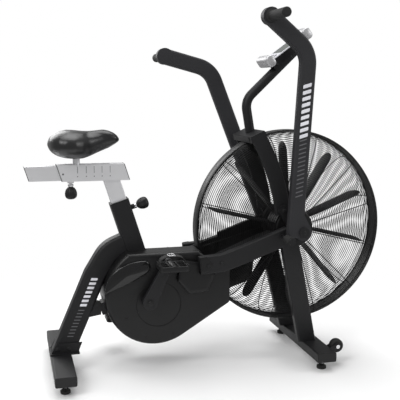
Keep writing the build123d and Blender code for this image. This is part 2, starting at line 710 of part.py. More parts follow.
# ---- seat post, rail, saddle and their knobs -------------------------------------------
rail_wall = 3.0
sleeve_bottom = rail_top - rail_height - 2 * rail_wall - 2 * slide_fit
post_top = (sleeve_bottom - seat_foot[1]) / cos(tilt)
post_low = tube_length - post_insert
post = up_tube(post_deep, post_wide, 3, post_low, post_top + 20)
post -= up_tube(post_deep - 2 * rail_wall, post_wide - 2 * rail_wall, 2, post_low - 1, post_top + 21)
post &= Pos(0, 0, sleeve_bottom - 500) * Box(4000, 200, 1000)
hole_pitch = 30.0
for n in range(5):
    height = pin_height - hole_pitch * n
    if height > post_low + 15:
        post -= rod(up_seat(height, 5), up_seat(height, post_deep), pin_radius + 1.0)
save("seat_post", post)

pin_tip_gap = 0.35
pin_tip = up_seat(pin_height, post_deep / 2 + pin_tip_gap)
pin = rod(pin_tip, up_seat(pin_height, tube_front + boss_length + 10), pin_radius)
pin_start = up_seat(pin_height, tube_front + boss_length + 6)
knob_plane = Plane(origin=pin_start, x_dir=(0, 1, 0), z_dir=(cos(tilt), 0, sin(tilt)))
knob_profile = Polyline((0, 0), (9, 0), (16, 8), (21, 26), (19, 36), (10, 42), (0, 43), close=True)
knob_solid = revolve(Plane.XZ * make_face(knob_profile), axis=Axis.Z)
save("post_pin_knob", knob_plane.location * knob_solid + pin)


def slanted(x_from, x_to, low, high, half):
    """A box along the rail whose two ends lean with the seat tube; x is read at the top."""
    drop = (high - low) * sin(tilt) / cos(tilt)
    corners = ((x_from, high), (x_to, high), (x_to + drop, low), (x_from + drop, low))
    return across(outline(*corners), -half, half)


sleeve_from = crank_x - 300.0
sleeve_to = crank_x - 68.0
sleeve_half = rail_wide / 2 + rail_wall + slide_fit
pillar_x = crank_x - 231.0
pillar_radius = 12.0
clamp_x = crank_x - 252.0
slot_from = pillar_x - pillar_radius - 24.0
slot_to = pillar_x + pillar_radius + 104.0
sleeve = slanted(sleeve_from, sleeve_to, sleeve_bottom, rail_top, sleeve_half)
sleeve -= slanted(sleeve_from - 50, sleeve_to + 50, sleeve_bottom + rail_wall, rail_top - rail_wall,
                  sleeve_half - rail_wall)
sleeve -= Pos((slot_from + slot_to) / 2, 0, rail_top) * Box(slot_to - slot_from, 2 * pillar_radius + 2, 12)
screw_radius = 5.0
sleeve -= Pos(clamp_x, 0, sleeve_bottom) * Cylinder(screw_radius + running_fit, 12)
sleeve_nut = Pos(clamp_x, 0, sleeve_bottom - 4) * Cylinder(11, 8)
sleeve_nut -= Pos(clamp_x, 0, sleeve_bottom - 4) * Cylinder(screw_radius + running_fit, 20)
save("rail_sleeve", sleeve + sleeve_nut)

rail_low = sleeve_bottom + rail_wall + slide_fit
rail_high = rail_top - rail_wall - slide_fit
rail_from = crank_x - rear_reach
rail_to = sleeve_to - 108.0
rail = slanted(rail_from, rail_to, rail_low, rail_high, rail_wide / 2)
rail -= slanted(rail_from - 5, rail_to + 5, rail_low + 2.5, rail_high - 2.5, rail_wide / 2 - 2.5)
saddle_low = rail_top + 20.0
pillar_low = rail_high - 1.0
pillar_high = saddle_low + 14.0
pillar = rod((pillar_x, 0, pillar_low), (pillar_x, 0, pillar_high), pillar_radius)
save("saddle_rail", rail + pillar)
clamp = Pos(pillar_x, 0, saddle_low + 14) * Box(44, 40, 24) - Pos(pillar_x, 0, saddle_low) * Cylinder(
    pillar_radius, 2 * (pillar_high - saddle_low))
save("saddle_clamp", clamp)

saddle_tail = crank_x - 331.0
stations = [
    (0.02, 0.52, 0.32, 0.72), (0.10, 0.85, 0.10, 0.90), (0.28, 1.0, 0.0, 0.99), (0.46, 0.82, 0.01, 0.98),
    (0.62, 0.50, 0.20, 0.97), (0.80, 0.31, 0.39, 0.99), (0.93, 0.23, 0.53, 0.91), (0.99, 0.10, 0.61, 0.74),
]
sections = []
for run, width, low, high in stations:
    height = (high - low) * saddle_height
    middle_z = saddle_low + 2 + low * saddle_height + height / 2
    plane = Plane(origin=(saddle_tail + run * saddle_length, 0, middle_z), x_dir=(0, 1, 0), z_dir=(1, 0, 0))
    sections.append(plane * Ellipse(width * saddle_wide / 2, height / 2))
saddle = loft(sections)
saddle -= Pos(pillar_x, 0, saddle_low + 8) * Box(44.4, 40.4, 36.4)
save("saddle", saddle.solids().sort_by(SortBy.VOLUME)[-1])

screw_top = rail_low - 0.4
knob_top = sleeve_bottom - 22.0
screw_low = knob_top - 5.0
screw = Pos(clamp_x, 0, (screw_top + screw_low) / 2) * Cylinder(screw_radius, screw_top - screw_low)
save("rail_clamp_knob", Pos(clamp_x, 0, knob_top) * Rot(180, 0, 0) * knob_solid + screw)

# ---- levers and grips -----------------------------------------------------------------
lever_phase = 12.35          # right lever forward of the middle, left lever back of it
lever_lean = 98.85           # upright run from +X, in the middle position
lever_set_back = 30.0        # the upright run passes this far behind the pivot
lever_up = 628.0             # pivot height to the knee, along the upright run
lever_top_run = 181.0        # knee to the grip's centre
lever_bend = 53.7
lever_bend_radius = 92.0


def lever_side():
    """Right lever in its middle position, about the pivot: upright tube bent back to the grip."""
    lean = radians(lever_lean)
    turn = radians(lever_lean + lever_bend)
    foot = (-lever_set_back * sin(lean), lever_set_back * cos(lean))
    corner = (foot[0] + lever_up * cos(lean), foot[1] + lever_up * sin(lean))
    tip = (corner[0] + lever_top_run * cos(turn), corner[1] + lever_top_run * sin(turn))
    start = (foot[0] - 20 * cos(lean), foot[1] - 20 * sin(lean))
    path = FilletPolyline((start[0], -lever_middle, start[1]), (corner[0], -lever_middle, corner[1]),
                          (tip[0], -lever_middle, tip[1]), radius=lever_bend_radius)
    bar = tube(path, rounded(lever_thick, lever_wide, 8), rounded(lever_thick - 2 * sheet_wall,
                                                                  lever_wide - 2 * sheet_wall, 6))
    return bar, tip


lever_bar, lever_tip = lever_side()
end_radius = lever_wide / 2 + 1.2
pivot_boss = drum((0, 0), end_radius, -lever_inner, -lever_outer)
pivot_bore = drum((0, 0), bush_radius + running_fit, -lever_inner + 1, -lever_outer - 1)
tip_boss = drum(lever_tip, end_radius, -lever_inner, -lever_outer)
heel = across(outline((-52, -12), (0, -30), (24, 18), (-44, 96)), -lever_inner, -lever_outer)
plug_radius = 20.0
tip_bore = drum(lever_tip, plug_radius, -lever_inner + 1, -lever_outer - 1)
lever_body = lever_bar + pivot_boss + tip_boss + heel - pivot_bore - tip_bore
core_radius = grip_radius - 4.0
flange = 4.0
grip_end = lever_outer + grip_length
core = drum(lever_tip, plug_radius, -lever_inner, -lever_outer)
core += ring(lever_tip, core_radius, core_radius - sheet_wall, -lever_outer, -grip_end + 4)
grip = ring(lever_tip, grip_radius, core_radius, -lever_outer - flange, -grip_end + 4)
grip += ring(lever_tip, plug_radius + 3, core_radius, -lever_outer, -lever_outer - flange)
grip += drum(lever_tip, grip_radius, -grip_end + 4, -grip_end)
grip = fillet(grip.faces().sort_by(Axis.Y)[0].edges(), 3.5)
lever_body += core

for side, sign in (("right", -1), ("left", 1)):
    swing = Pos(fan_x, 0, fan_height) * Rot(0, lever_phase * -sign, 0)
    for name, solid in (("lever", lever_body), ("grip", grip)):
        copy = solid if sign < 0 else mirrored(solid)
        save(f"{side}_{name}", swing * copy)

# ---- mast and console --------------------------------------------------------------------
bridge_angle = 114.0         # place of the bridge round the cage, from +X
bridge_half = 32.0
bridge_high = 22.0
bridge_gap = 2.0


def on_rim(outward, forward):
    """A point off the cage's rim at the bridge: outward from the band, and forward along it."""
    turn = radians(bridge_angle)
    reach = cage_radius + bridge_gap + outward
    return (fan_x + reach * cos(turn) + forward * sin(turn),
            fan_height + reach * sin(turn) - forward * cos(turn))


upright_in = frame_inner - 14.0
upright_out = frame_inner


def upright():
    """Flat bowed bar from the axle plate up past the cage to the bridge, right-hand side."""
    middle = (upright_in + upright_out) / 2
    path = Spline((upright_foot[0], -middle, upright_foot[1] - 16), (fan_x - 66, -middle, fan_height + 130),
                  (fan_x - 92, -middle, fan_height + 215), (on_rim(11, 0)[0], -middle, on_rim(11, 0)[1]))
    start = Plane(origin=path @ 0, x_dir=(0, 1, 0), z_dir=path % 0)
    return sweep(start * rounded(upright_out - upright_in, 56, 4), path=path)


right_upright = upright()
save("mast_uprights", right_upright, mirrored(right_upright))
bridge_profile = outline(on_rim(0, -bridge_half), on_rim(0, bridge_half),
                         on_rim(bridge_high, bridge_half - 4), on_rim(bridge_high, 4 - bridge_half))
bridge = across(bridge_profile, -upright_out, upright_out)
bridge_hollow = outline(on_rim(wall, -bridge_half - 1), on_rim(wall, bridge_half + 1),
                        on_rim(bridge_high - wall, bridge_half + 1),
                        on_rim(bridge_high - wall, -bridge_half - 1))
bridge -= across(bridge_hollow, 6 - upright_in, upright_in - 6)
bridge = bridge - right_upright - mirrored(right_upright)
bridge = bridge.solids().sort_by(SortBy.VOLUME)[-1]
mast_foot = (on_rim(8, 4)[0], 0, on_rim(8, 4)[1])
mast_knee = (fan_x - 166, 0, 955)
mast_tip = (fan_x + 22, 0, 1134)
mast_path = bend([mast_foot, mast_knee, mast_tip], 62)
mast = tube(mast_path, Circle(mast_radius), Circle(mast_radius - sheet_wall))
mast_solid = sweep(Plane(origin=mast_path @ 0, x_dir=(0, 1, 0), z_dir=mast_path % 0) * Circle(mast_radius),
                   path=mast_path)

console_lean = 36.0
console_foot = (fan_x - 100.8, 0, 1083.4)
lean = radians(console_lean)
console_plane = Plane(origin=console_foot, x_dir=(cos(lean), 0, sin(lean)),
                      z_dir=(-sin(lean), 0, cos(lean)))


def console_box(along_from, along_to, half, low, high, radius=4.0):
    """A block in the console's own frame: along its face, across it, and off the mast."""
    sketch = Pos((along_from + along_to) / 2, 0) * rounded(along_to - along_from, 2 * half, radius)
    return extrude(console_plane.offset(low) * sketch, amount=high - low)


def console_button(along_x, y, radius, low):
    """A round plug 6 mm long standing on the console's face."""
    return extrude(console_plane.offset(low) * Pos(along_x, y) * Circle(radius), amount=6)


bumper = 30.0
half_wide = console_wide / 2
case = console_box(bumper, console_long - bumper, half_wide, -console_thick, 0)
case -= console_box(bumper + 3, console_long - bumper - 3, half_wide - 3, 3 - console_thick, 1)
tube_space = sweep(Plane(origin=mast_path @ 0, x_dir=(0, 1, 0), z_dir=mast_path % 0)
                   * Circle(mast_radius + slide_fit), path=mast_path)
save("console_case", case - tube_space)
key_radius = 6.0
key_places = [(bumper + 18, y) for y in (-30, 0, 30)]
face_low = 0.1
face_plate = console_box(bumper, console_long - bumper, half_wide, face_low, face_low + 3)
window_from = bumper + 36
window_to = console_long - bumper - 8
face_plate -= console_box(window_from, window_to, half_wide - 10, face_low - 1, face_low + 5)
keys = []
for along_x, y in key_places:
    face_plate -= console_button(along_x, y, key_radius + 0.5, face_low - 1)
    keys.append(console_button(along_x, y, key_radius, face_low - 1.2))
save("console_face", face_plate)
save("console_screen", console_box(window_from, window_to, half_wide - 10, face_low + 0.4, face_low + 2.4))
for n, key in enumerate(keys, start=1):
    save(f"console_key_{n}", key)
save("console_board", console_box(bumper + 8, console_long - bumper - 8, half_wide - 8, -9, -7))
bracket_from = 23.0
bumper_low = -20.0
bumper_high = 22.0
ends = [console_box(0, bumper - 0.2, half_wide, bumper_low, bumper_high),
        console_box(console_long - bumper + 0.2, console_long, half_wide, bumper_low, bumper_high)]
save("console_bumpers", *ends)
bracket_block = console_box(bracket_from, bracket_from + 80, 20, -46, -console_thick - 0.2)
bracket = (bracket_block - mast_solid).solids().sort_by(SortBy.VOLUME)[-1]
save("mast_tube", mast + (bridge - mast_solid) + bracket)
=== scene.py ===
import json
import math
import bpy
import bmesh
import numpy as np
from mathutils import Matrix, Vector


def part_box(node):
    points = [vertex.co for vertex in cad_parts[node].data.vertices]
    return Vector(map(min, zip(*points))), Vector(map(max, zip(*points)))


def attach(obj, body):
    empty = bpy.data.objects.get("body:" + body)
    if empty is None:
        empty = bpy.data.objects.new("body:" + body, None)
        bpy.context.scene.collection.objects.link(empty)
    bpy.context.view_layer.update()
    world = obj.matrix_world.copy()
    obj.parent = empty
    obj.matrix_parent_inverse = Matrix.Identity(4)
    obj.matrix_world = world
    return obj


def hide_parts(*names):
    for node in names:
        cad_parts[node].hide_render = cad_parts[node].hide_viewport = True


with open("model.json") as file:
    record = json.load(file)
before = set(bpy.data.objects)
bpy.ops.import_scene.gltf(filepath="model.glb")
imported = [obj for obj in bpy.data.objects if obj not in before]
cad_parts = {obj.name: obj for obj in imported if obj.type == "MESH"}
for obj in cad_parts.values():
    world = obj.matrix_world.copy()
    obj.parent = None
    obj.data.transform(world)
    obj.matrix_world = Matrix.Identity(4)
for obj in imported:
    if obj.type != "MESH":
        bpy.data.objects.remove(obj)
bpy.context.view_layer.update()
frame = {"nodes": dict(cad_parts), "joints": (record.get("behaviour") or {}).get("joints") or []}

MM = 0.001
X, Y, Z = np.eye(3)


# ---- places read from the frame --------------------------------------------------------
def ends(*nodes):
    """Lowest and highest corner of the boxes of some nodes together."""
    boxes = [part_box(n) for n in nodes]
    return np.min([np.array(b[0]) for b in boxes], 0), np.max([np.array(b[1]) for b in boxes], 0)


def centre(node):
    low, high = ends(node)
    return (low + high) / 2


def spine(node, axis):
    """Lowest and highest point of a round node on its own axis, from its vertices."""
    co = np.array([v.co for v in frame["nodes"][node].data.vertices])
    side = np.cross(axis, Y)
    run, off = co @ axis, co @ side
    middle = side * (off.max() + off.min()) / 2 + Y * centre(node)[1]
    return middle + axis * run.min(), middle + axis * run.max()


fan_axle = centre("cage_band")
crank_axle = centre("crank_axle")
joints = {j["name"]: np.array(j["axis"], float) for j in frame["joints"]}

# ---- camera, floor and light -----------------------------------------------------------
scene = bpy.context.scene
scene.view_settings.view_transform = "Standard"


def add_object(name, data):
    made = bpy.data.objects.new(name, data)
    scene.collection.objects.link(made)
    return made


lens = bpy.data.cameras.new("camera")
lens.lens, lens.sensor_width = 67.34, 36.0
camera = add_object("camera", lens)
camera.location = (-0.70355, -2.59957, 0.99214)
camera.rotation_euler = (math.radians(90 - 8.351), 0, math.radians(-14.425))
scene.camera = camera


def softbox(name, place, aim, size, power, colour=(1, 1, 1)):
    """A square area light at a place, turned towards a point."""
    lamp = bpy.data.lights.new(name, "AREA")
    lamp.size, lamp.energy, lamp.color = size, power, colour
    made = add_object(name, lamp)
    made.location = place
    made.rotation_euler = (Vector(aim) - Vector(place)).to_track_quat("-Z", "Y").to_euler()
    return made


softbox("key_light", (-2.6, -2.4, 3.4), (0, 0, 0.5), 2.2, 95)
softbox("side_light", (3.2, -1.8, 2.2), (0.2, 0, 0.6), 1.8, 40)
softbox("top_light", (0.2, 0.6, 4.2), (0, 0, 0.3), 3.0, 110)
softbox("back_light", (-1.5, 3.4, 2.4), (0, 0, 0.7), 2.4, 60)

world = bpy.data.worlds.new("studio")
scene.world = world
world.use_nodes = True
tree = world.node_tree
sky = tree.nodes["Background"]
sky.inputs["Color"].default_value = (1, 1, 1, 1)
ray = tree.nodes.new("ShaderNodeLightPath")
level = tree.nodes.new("ShaderNodeMix")
level.data_type = "FLOAT"
level.inputs[2].default_value, level.inputs[3].default_value = 0.36, 1.0
tree.links.new(ray.outputs["Is Camera Ray"], level.inputs[0])
tree.links.new(level.outputs[0], sky.inputs["Strength"])


# ---- finishes --------------------------------------------------------------------------
class Value:
    """A shader socket used in Python arithmetic: each operation adds its Math node."""

    def __init__(self, look, socket):
        self.look, self.socket = look, socket

    def maths(self, operation, first, second):
        node = self.look.node("ShaderNodeMath", {"operation": operation}, {0: first, 1: second})
        return self.look.out(node)

    def __add__(self, other):
        return self.maths("ADD", self, other)

    def __sub__(self, other):
        return self.maths("SUBTRACT", self, other)

    def __rsub__(self, other):
        return self.maths("SUBTRACT", other, self)

    def __mul__(self, other):
        return self.maths("MULTIPLY", self, other)

    def __gt__(self, other):
        return self.maths("GREATER_THAN", self, other)

    __radd__, __rmul__ = __add__, __mul__


class Look:
    """A material and its Principled shader, with helpers that add nodes to it."""

    def __init__(self, name, **sockets):
        self.material = bpy.data.materials.new(name)
        self.material.use_nodes = True
        self.tree = self.material.node_tree
        self.shader = self.tree.nodes["Principled BSDF"]
        self.place = self.out(self.node("ShaderNodeTexCoord"), "Object")
        self.set(**sockets)

    def node(self, kind, settings=None, inputs=None):
        made = self.tree.nodes.new(kind)
        for key, value in (settings or {}).items():
            if key == "stops":
                for element, (position, colour) in zip(made.color_ramp.elements, value):
                    element.position, element.color = position, colour
            else:
                setattr(made, key, value)
        for key, value in (inputs or {}).items():
            if isinstance(value, Value):
                self.tree.links.new(value.socket, made.inputs[key])
            else:
                made.inputs[key].default_value = value
        return made

    def out(self, node, name=0):
        return Value(self, node.outputs[name])

    def set(self, **sockets):
        for key, value in sockets.items():
            socket = self.shader.inputs[key.replace("_", " ")]
            if isinstance(value, Value):
                self.tree.links.new(value.socket, socket)
            else:
                socket.default_value = value

    def noise(self, scale, detail=2.0, stretch=None):
        where = self.place
        if stretch:
            where = self.out(self.node("ShaderNodeMapping", None, {"Vector": where, "Scale": stretch}))
        return self.out(self.node("ShaderNodeTexNoise", None, {"Vector": where, "Scale": scale, "Detail": detail}))

    def mix(self, factor, first, second):
        node = self.node("ShaderNodeMix", {"data_type": "RGBA"}, {0: factor, 6: first, 7: second})
        return self.out(node, 2)

    def bump(self, height, strength, distance):
        node = self.node("ShaderNodeBump", None, {"Height": height, "Strength": strength, "Distance": distance})
        self.set(Normal=self.out(node))


def grey(level, tint=0.0):
    """A colour from a brightness, a touch bluer where tint is above zero."""
    return (level, level, level * (1 + tint), 1.0)


def powder_coat(name, level, speck, rough=0.5):
    """Baked powder paint: fine pebbled skin, pale specks and slow changes of gloss."""
    look = Look(name, Specular_IOR_Level=0.30)
    pebble = look.noise(1500, 2)
    specks = look.noise(2600, 1) > 0.66
    cloud = look.noise(9, 3)
    base = look.mix(cloud, grey(level * 0.85, 0.1), grey(level * 1.15, 0.1))
    look.set(Base_Color=look.mix(specks * 0.5, base, grey(speck, 0.1)), Roughness=cloud * 0.12 + (rough - 0.06))
    look.bump(pebble, 0.35, 0.0004)
    return look.material


def moulded(name, level, rough, grain=2200, strength=0.25, coat=0.0):
    """Moulded plastic: fine spark-eroded grain and faint flow clouds in the gloss."""
    look = Look(name, Specular_IOR_Level=0.32)
    cloud = look.noise(14, 3)
    look.set(Base_Color=look.mix(cloud, grey(level * 0.8, 0.06), grey(level * 1.2, 0.06)),
             Roughness=cloud * 0.14 + (rough - 0.07), Coat_Weight=coat)
    look.bump(look.noise(grain, 2), strength, 0.0002)
    return look.material


def metal(name, level, rough, stretch=(1, 1, 1), metallic=1.0, grain=260):
    """Bright metal with fine drawn lines along one direction and slow changes of gloss."""
    look = Look(name, Metallic=metallic)
    lines = look.noise(grain, 3, stretch)
    cloud = look.noise(18, 3)
    look.set(Base_Color=look.mix(cloud, grey(level * 0.93, 0.02), grey(level * 1.05, 0.02)),
             Roughness=lines * 0.12 + (rough - 0.06))
    look.bump(lines, 0.15, 0.0002)
    return look.material


def rubber(name, level, rough=0.78):
    """Rubber or foam: dull, with an open pore grain and a dusty variation."""
    look = Look(name, Specular_IOR_Level=0.35)
    cloud = look.noise(30, 4)
    look.set(Base_Color=look.mix(cloud, grey(level * 0.8), grey(level * 1.3)), Roughness=cloud * 0.1 + (rough - 0.05))
    look.bump(look.noise(1100, 3), 0.5, 0.0005)
    return look.material


def vinyl(name):
    """Upholstery vinyl: leather-like cells pressed into a soft sheen."""
    look = Look(name, Specular_IOR_Level=0.5, Coat_Roughness=0.35)
    cells = look.out(look.node("ShaderNodeTexVoronoi", {"feature": "DISTANCE_TO_EDGE"},
                               {"Vector": look.place, "Scale": 420.0}))
    cloud = look.noise(16, 3)
    look.set(Base_Color=look.mix(cloud, grey(0.005, 0.06), grey(0.010, 0.06)), Roughness=cloud * 0.12 + 0.27,
             Coat_Weight=cloud * 0.2)
    look.bump(cells, 0.3, 0.0006)
    return look.material


def webbing(name):
    """Woven strap: fine crossed ribs."""
    look = Look(name, Specular_IOR_Level=0.3)
    rib = look.out(look.node("ShaderNodeTexWave", None, {"Vector": look.place, "Scale": 180.0, "Distortion": 0.4}))
    look.set(Base_Color=look.mix(rib, grey(0.012), grey(0.035)), Roughness=rib * 0.1 + 0.75)
    look.bump(rib, 0.4, 0.0006)
    return look.material


def display(name):
    """Unlit display window: dark green grey with faint segment rows under a glossy cover."""
    look = Look(name, Coat_Roughness=0.05, Roughness=0.16)
    rows = look.noise(900, 1)
    look.set(Base_Color=look.mix(rows, (0.05, 0.065, 0.055, 1), (0.07, 0.085, 0.07, 1)), Coat_Weight=rows * 0.1 + 0.5)
    look.bump(look.noise(60, 1), 0.02, 0.0002)
    return look.material


finish = {
    "frame_paint": powder_coat("frame_powder_coat", 0.0085, 0.03),
    # the lever coat is the frame powder coat painted lighter: painted light standing for the light the levers catch
    "lever_paint": powder_coat("lever_powder_coat", 0.024, 0.07),
    "cage_paint": moulded("cage_wire_coat", 0.006, 0.42),
    "shroud_plastic": moulded("shroud_plastic", 0.0055, 0.40),
    "gloss_plastic": moulded("shroud_gloss_plastic", 0.0055, 0.20, strength=0.08, coat=0.3),
    "black_plastic": moulded("black_plastic", 0.007, 0.45),
    "fan_paint": powder_coat("fan_paint", 0.012, 0.03, 0.55),
    "silver": metal("satin_silver", 0.88, 0.34, (0.06, 1, 1), 0.75),
    "bright_steel": metal("bright_steel", 0.70, 0.22),
    "bearing_steel": metal("bearing_steel", 0.48, 0.30),
    "alloy": metal("cast_alloy", 0.55, 0.42, (1, 1, 1), 1.0, 500),
    "rubber_black": rubber("black_rubber", 0.016),
    "saddle_vinyl": vinyl("saddle_vinyl"),
    "strap_web": webbing("strap_webbing"),
    "wheel_rubber": rubber("wheel_rubber", 0.014, 0.7),
    "console_silver": metal("console_silver", 0.50, 0.42, (1, 1, 1), 0.55, 800),
    "console_white": moulded("console_front_plate", 0.62, 0.35),
    "console_black": moulded("console_black", 0.010, 0.30),
    "screen": display("display_window"),
    "board": moulded("circuit_board", 0.03, 0.5),
    "key_grey": moulded("key_grey", 0.22, 0.5),
    "print_white": moulded("printed_white", 0.80, 0.45),
    # the grey print finish also colours the pin hole disc on the seat sleeve, where it is painted shade
    "print_and_hole_shade_grey": moulded("printed_grey_and_hole_shade", 0.11, 0.5),
    # a darker, matte black used as painted shade in the groove round the shroud disc
    "groove_painted_shade_black": moulded("groove_painted_shade_black", 0.003, 0.7),
}

# each imported node keeps the finish of its own slot; the levers instead take the lighter lever coat, which is painted
# light, and the console face takes the white plate
for name, node in frame["nodes"].items():
    key = node.data.materials[0].name
    key = {"right_lever": "lever_paint", "left_lever": "lever_paint", "console_face": "console_white"}.get(name, key)
    chosen = finish[key.split(".")[0]]
    node.data.materials.clear()
    node.data.materials.append(chosen)


# ---- surfaces as whole arrays ----------------------------------------------------------
def grid_faces(rows, cols, wrap_rows, wrap_cols):
    """Index quads of a grid of points, joined end to start where it wraps."""
    r = np.arange(rows if wrap_rows else rows - 1)[:, None]
    c = np.arange(cols if wrap_cols else cols - 1)[None, :]
    r1, c1 = (r + 1) % rows, (c + 1) % cols
    return np.stack([r * cols + c, r * cols + c1, r1 * cols + c1, r1 * cols + c], -1).reshape(-1, 4)


def skin(points, wrap_rows=False, wrap_cols=True):
    """Points and faces of one grid, or of a stack of equal grids."""
    stack = points.reshape((-1,) + points.shape[-3:])
    count, rows, cols = stack.shape[:3]
    faces = grid_faces(rows, cols, wrap_rows, wrap_cols)
    faces = (faces[None] + (np.arange(count) * rows * cols)[:, None, None]).reshape(-1, 4)
    return stack.reshape(-1, 3), faces


def capped(rows):
    """The rows of a tube with a row at each end drawn in to that end's middle, so that it is closed."""
    first = np.repeat(rows[:1].mean(1, keepdims=True), rows.shape[1], 1)
    last = np.repeat(rows[-1:].mean(1, keepdims=True), rows.shape[1], 1)
    return np.concatenate([first, rows, last])


def piece(name, parts, body, look, nodes=(), sharp=40.0):
    """One finished object from parts of points and faces, with its place in its mesh."""
    offsets = np.cumsum([0] + [len(p) for p, _ in parts])
    points = np.concatenate([p for p, _ in parts])
    faces = np.concatenate([f + o for (_, f), o in zip(parts, offsets)])
    mesh = bpy.data.meshes.new(name)
    mesh.from_pydata(points.tolist(), [], faces.tolist())
    edit = bmesh.new()
    edit.from_mesh(mesh)
    bmesh.ops.remove_doubles(edit, verts=edit.verts, dist=2e-6)
    bmesh.ops.recalc_face_normals(edit, faces=edit.faces)
    edit.to_mesh(mesh)
    edit.free()
    mesh.shade_smooth()
    mesh.set_sharp_from_angle(angle=math.radians(sharp))
    mesh.materials.append(finish[look])
    made = add_object(name, mesh)
    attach(made, body)
    if nodes:
        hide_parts(*nodes)
    return made


def circle(radius, count):
    """Points of a circle, evenly round."""
    turn = np.linspace(0, 2 * math.pi, count, endpoint=False)
    return np.stack([radius * np.cos(turn), radius * np.sin(turn)], -1)


def rounded(wide, high, radius, each=5):
    """Outline of a rectangle whose corners are quarter circles."""
    turn = np.linspace(0, math.pi / 2, each)
    corner = radius * np.stack([np.cos(turn), np.sin(turn)], -1)
    offset = np.array([wide / 2 - radius, high / 2 - radius])
    return np.concatenate([corner + offset, corner[:, ::-1] * [-1, 1] + offset * [-1, 1],
                           -corner - offset, corner[:, ::-1] * [1, -1] + offset * [1, -1]])


def tube(path, section, across=Y, closed=False):
    """A section carried along a path: its first coordinate lies along across, its second square to both."""
    step = np.roll(path, -1, 0) - np.roll(path, 1, 0) if closed else np.gradient(path, axis=0)
    step /= np.linalg.norm(step, axis=1, keepdims=True)
    up = np.cross(step, across)
    up /= np.linalg.norm(up, axis=1, keepdims=True)
    rows = path[:, None] + section[None, :, :1] * np.asarray(across) + section[None, :, 1:] * up[:, None]
    return skin(rows, wrap_rows=True) if closed else skin(capped(rows))


def turned(profile, base, axis, around=32, lobes=0, depth=0.0):
    """A profile of (distance, radius) turned round an axis; lobes flute the radius as 1 + depth times a cosine."""
    profile, axis = np.asarray(profile, float), np.asarray(axis, float)
    side = np.cross(axis, Y if abs(axis[1]) < 0.9 else X)
    side /= np.linalg.norm(side)
    other = np.cross(axis, side)
    turn = np.linspace(0, 2 * math.pi, around, endpoint=False)
    reach = profile[:, 1:] * (1 + depth * np.cos(lobes * turn))[None, :]
    rows = (np.asarray(base) + profile[:, :1, None] * axis
            + reach[..., None] * (np.cos(turn)[:, None] * side + np.sin(turn)[:, None] * other))
    return skin(capped(rows))


def block(middle, half, axes=(X, Y, Z), soft=0.22, rows=17, cols=28):
    """A box with soft edges: a sphere's sine and cosine raised to a small power, then stretched."""
    rise = np.linspace(-math.pi / 2, math.pi / 2, rows)[:, None]
    turn = np.linspace(0, 2 * math.pi, cols, endpoint=False)[None, :]

    def power(values):
        return np.sign(values) * np.abs(values) ** soft

    a, b, c = power(np.cos(rise)) * power(np.cos(turn)), power(np.cos(rise)) * power(np.sin(turn)), power(np.sin(rise))
    c = np.broadcast_to(c, a.shape)
    points = (np.asarray(middle) + half[0] * a[..., None] * axes[0] + half[1] * b[..., None] * axes[1]
              + half[2] * c[..., None] * axes[2])
    return skin(points)


def smooth(corners, count):
    """A Catmull-Rom curve through the corners, evenly counted between them."""
    p = np.asarray(corners, float)
    p = np.concatenate([2 * p[:1] - p[1:2], p, 2 * p[-1:] - p[-2:-1]])
    t = np.linspace(0, len(p) - 3 - 1e-9, count)
    i = t.astype(int)
    f = (t - i)[:, None]
    return 0.5 * (2 * p[i + 1] + (p[i + 2] - p[i]) * f + (2 * p[i] - 5 * p[i + 1] + 4 * p[i + 2] - p[i + 3]) * f ** 2
                  + (3 * p[i + 1] - p[i] - 3 * p[i + 2] + p[i + 3]) * f ** 3)


def pad_on(outline, y_base, y_face, bevel, crown=0.0, rings=7):
    """A raised panel on a side face: its outline rises from the base, rounds over and domes to its middle.
    Between edge and middle the points run in a straight line, and the crown is one minus the distance squared."""
    outline = np.asarray(outline, float)
    middle = outline.mean(0)
    reach = np.linalg.norm(outline - middle, axis=1).mean()
    sign = np.sign(y_face - y_base)
    turn = np.linspace(0, math.pi / 2, 5)
    inward = np.concatenate([[0.0], bevel * (1 - np.cos(turn)) / reach, np.linspace(bevel / reach, 1, rings)[1:]])
    rise = np.concatenate([[y_base], y_face - sign * bevel * (1 - np.sin(turn)), np.full(rings - 1, y_face)])
    rise = rise + sign * crown * (1 - (1 - inward) ** 2) * (inward > 0)
    flat = middle + (outline - middle)[None] * (1 - inward)[:, None, None]
    rows = np.stack([flat[..., 0], np.broadcast_to(rise[:, None], flat.shape[:2]), flat[..., 1]], -1)
    return skin(capped(rows))


# ---- wire cage -------------------------------------------------------------------------
cage_low, cage_high = ends("cage_band")
cage_radius = (cage_high[0] - cage_low[0]) / 2
band_half = cage_high[1]
cage_face = ends("cage_left")[1][1]
wire = 1.15 * MM


def meridian(count):
    """The cage's side profile, middle plate to rim, as (radius, height): a flat run, then a cubic bend to the band."""
    flat = np.stack([np.linspace(0.070, cage_radius - 0.068, 60), np.full(60, cage_face - 0.002)], -1)
    t = np.linspace(0, 1, 60)[1:, None]
    a, b = flat[-1], np.array([cage_radius - 0.024, cage_face - 0.002])
    c, d = np.array([cage_radius - 0.0045, cage_face * 0.80]), np.array([cage_radius - 0.0045, band_half - 0.004])
    bend = (1 - t) ** 3 * a + 3 * t * (1 - t) ** 2 * b + 3 * t * t * (1 - t) * c + t ** 3 * d
    line = np.concatenate([flat, bend])
    run = np.concatenate([[0], np.cumsum(np.linalg.norm(np.diff(line, axis=0), axis=1))])
    at = np.linspace(0, run[-1], count)
    return np.stack([np.interp(at, run, line[:, 0]), np.interp(at, run, line[:, 1])], -1)


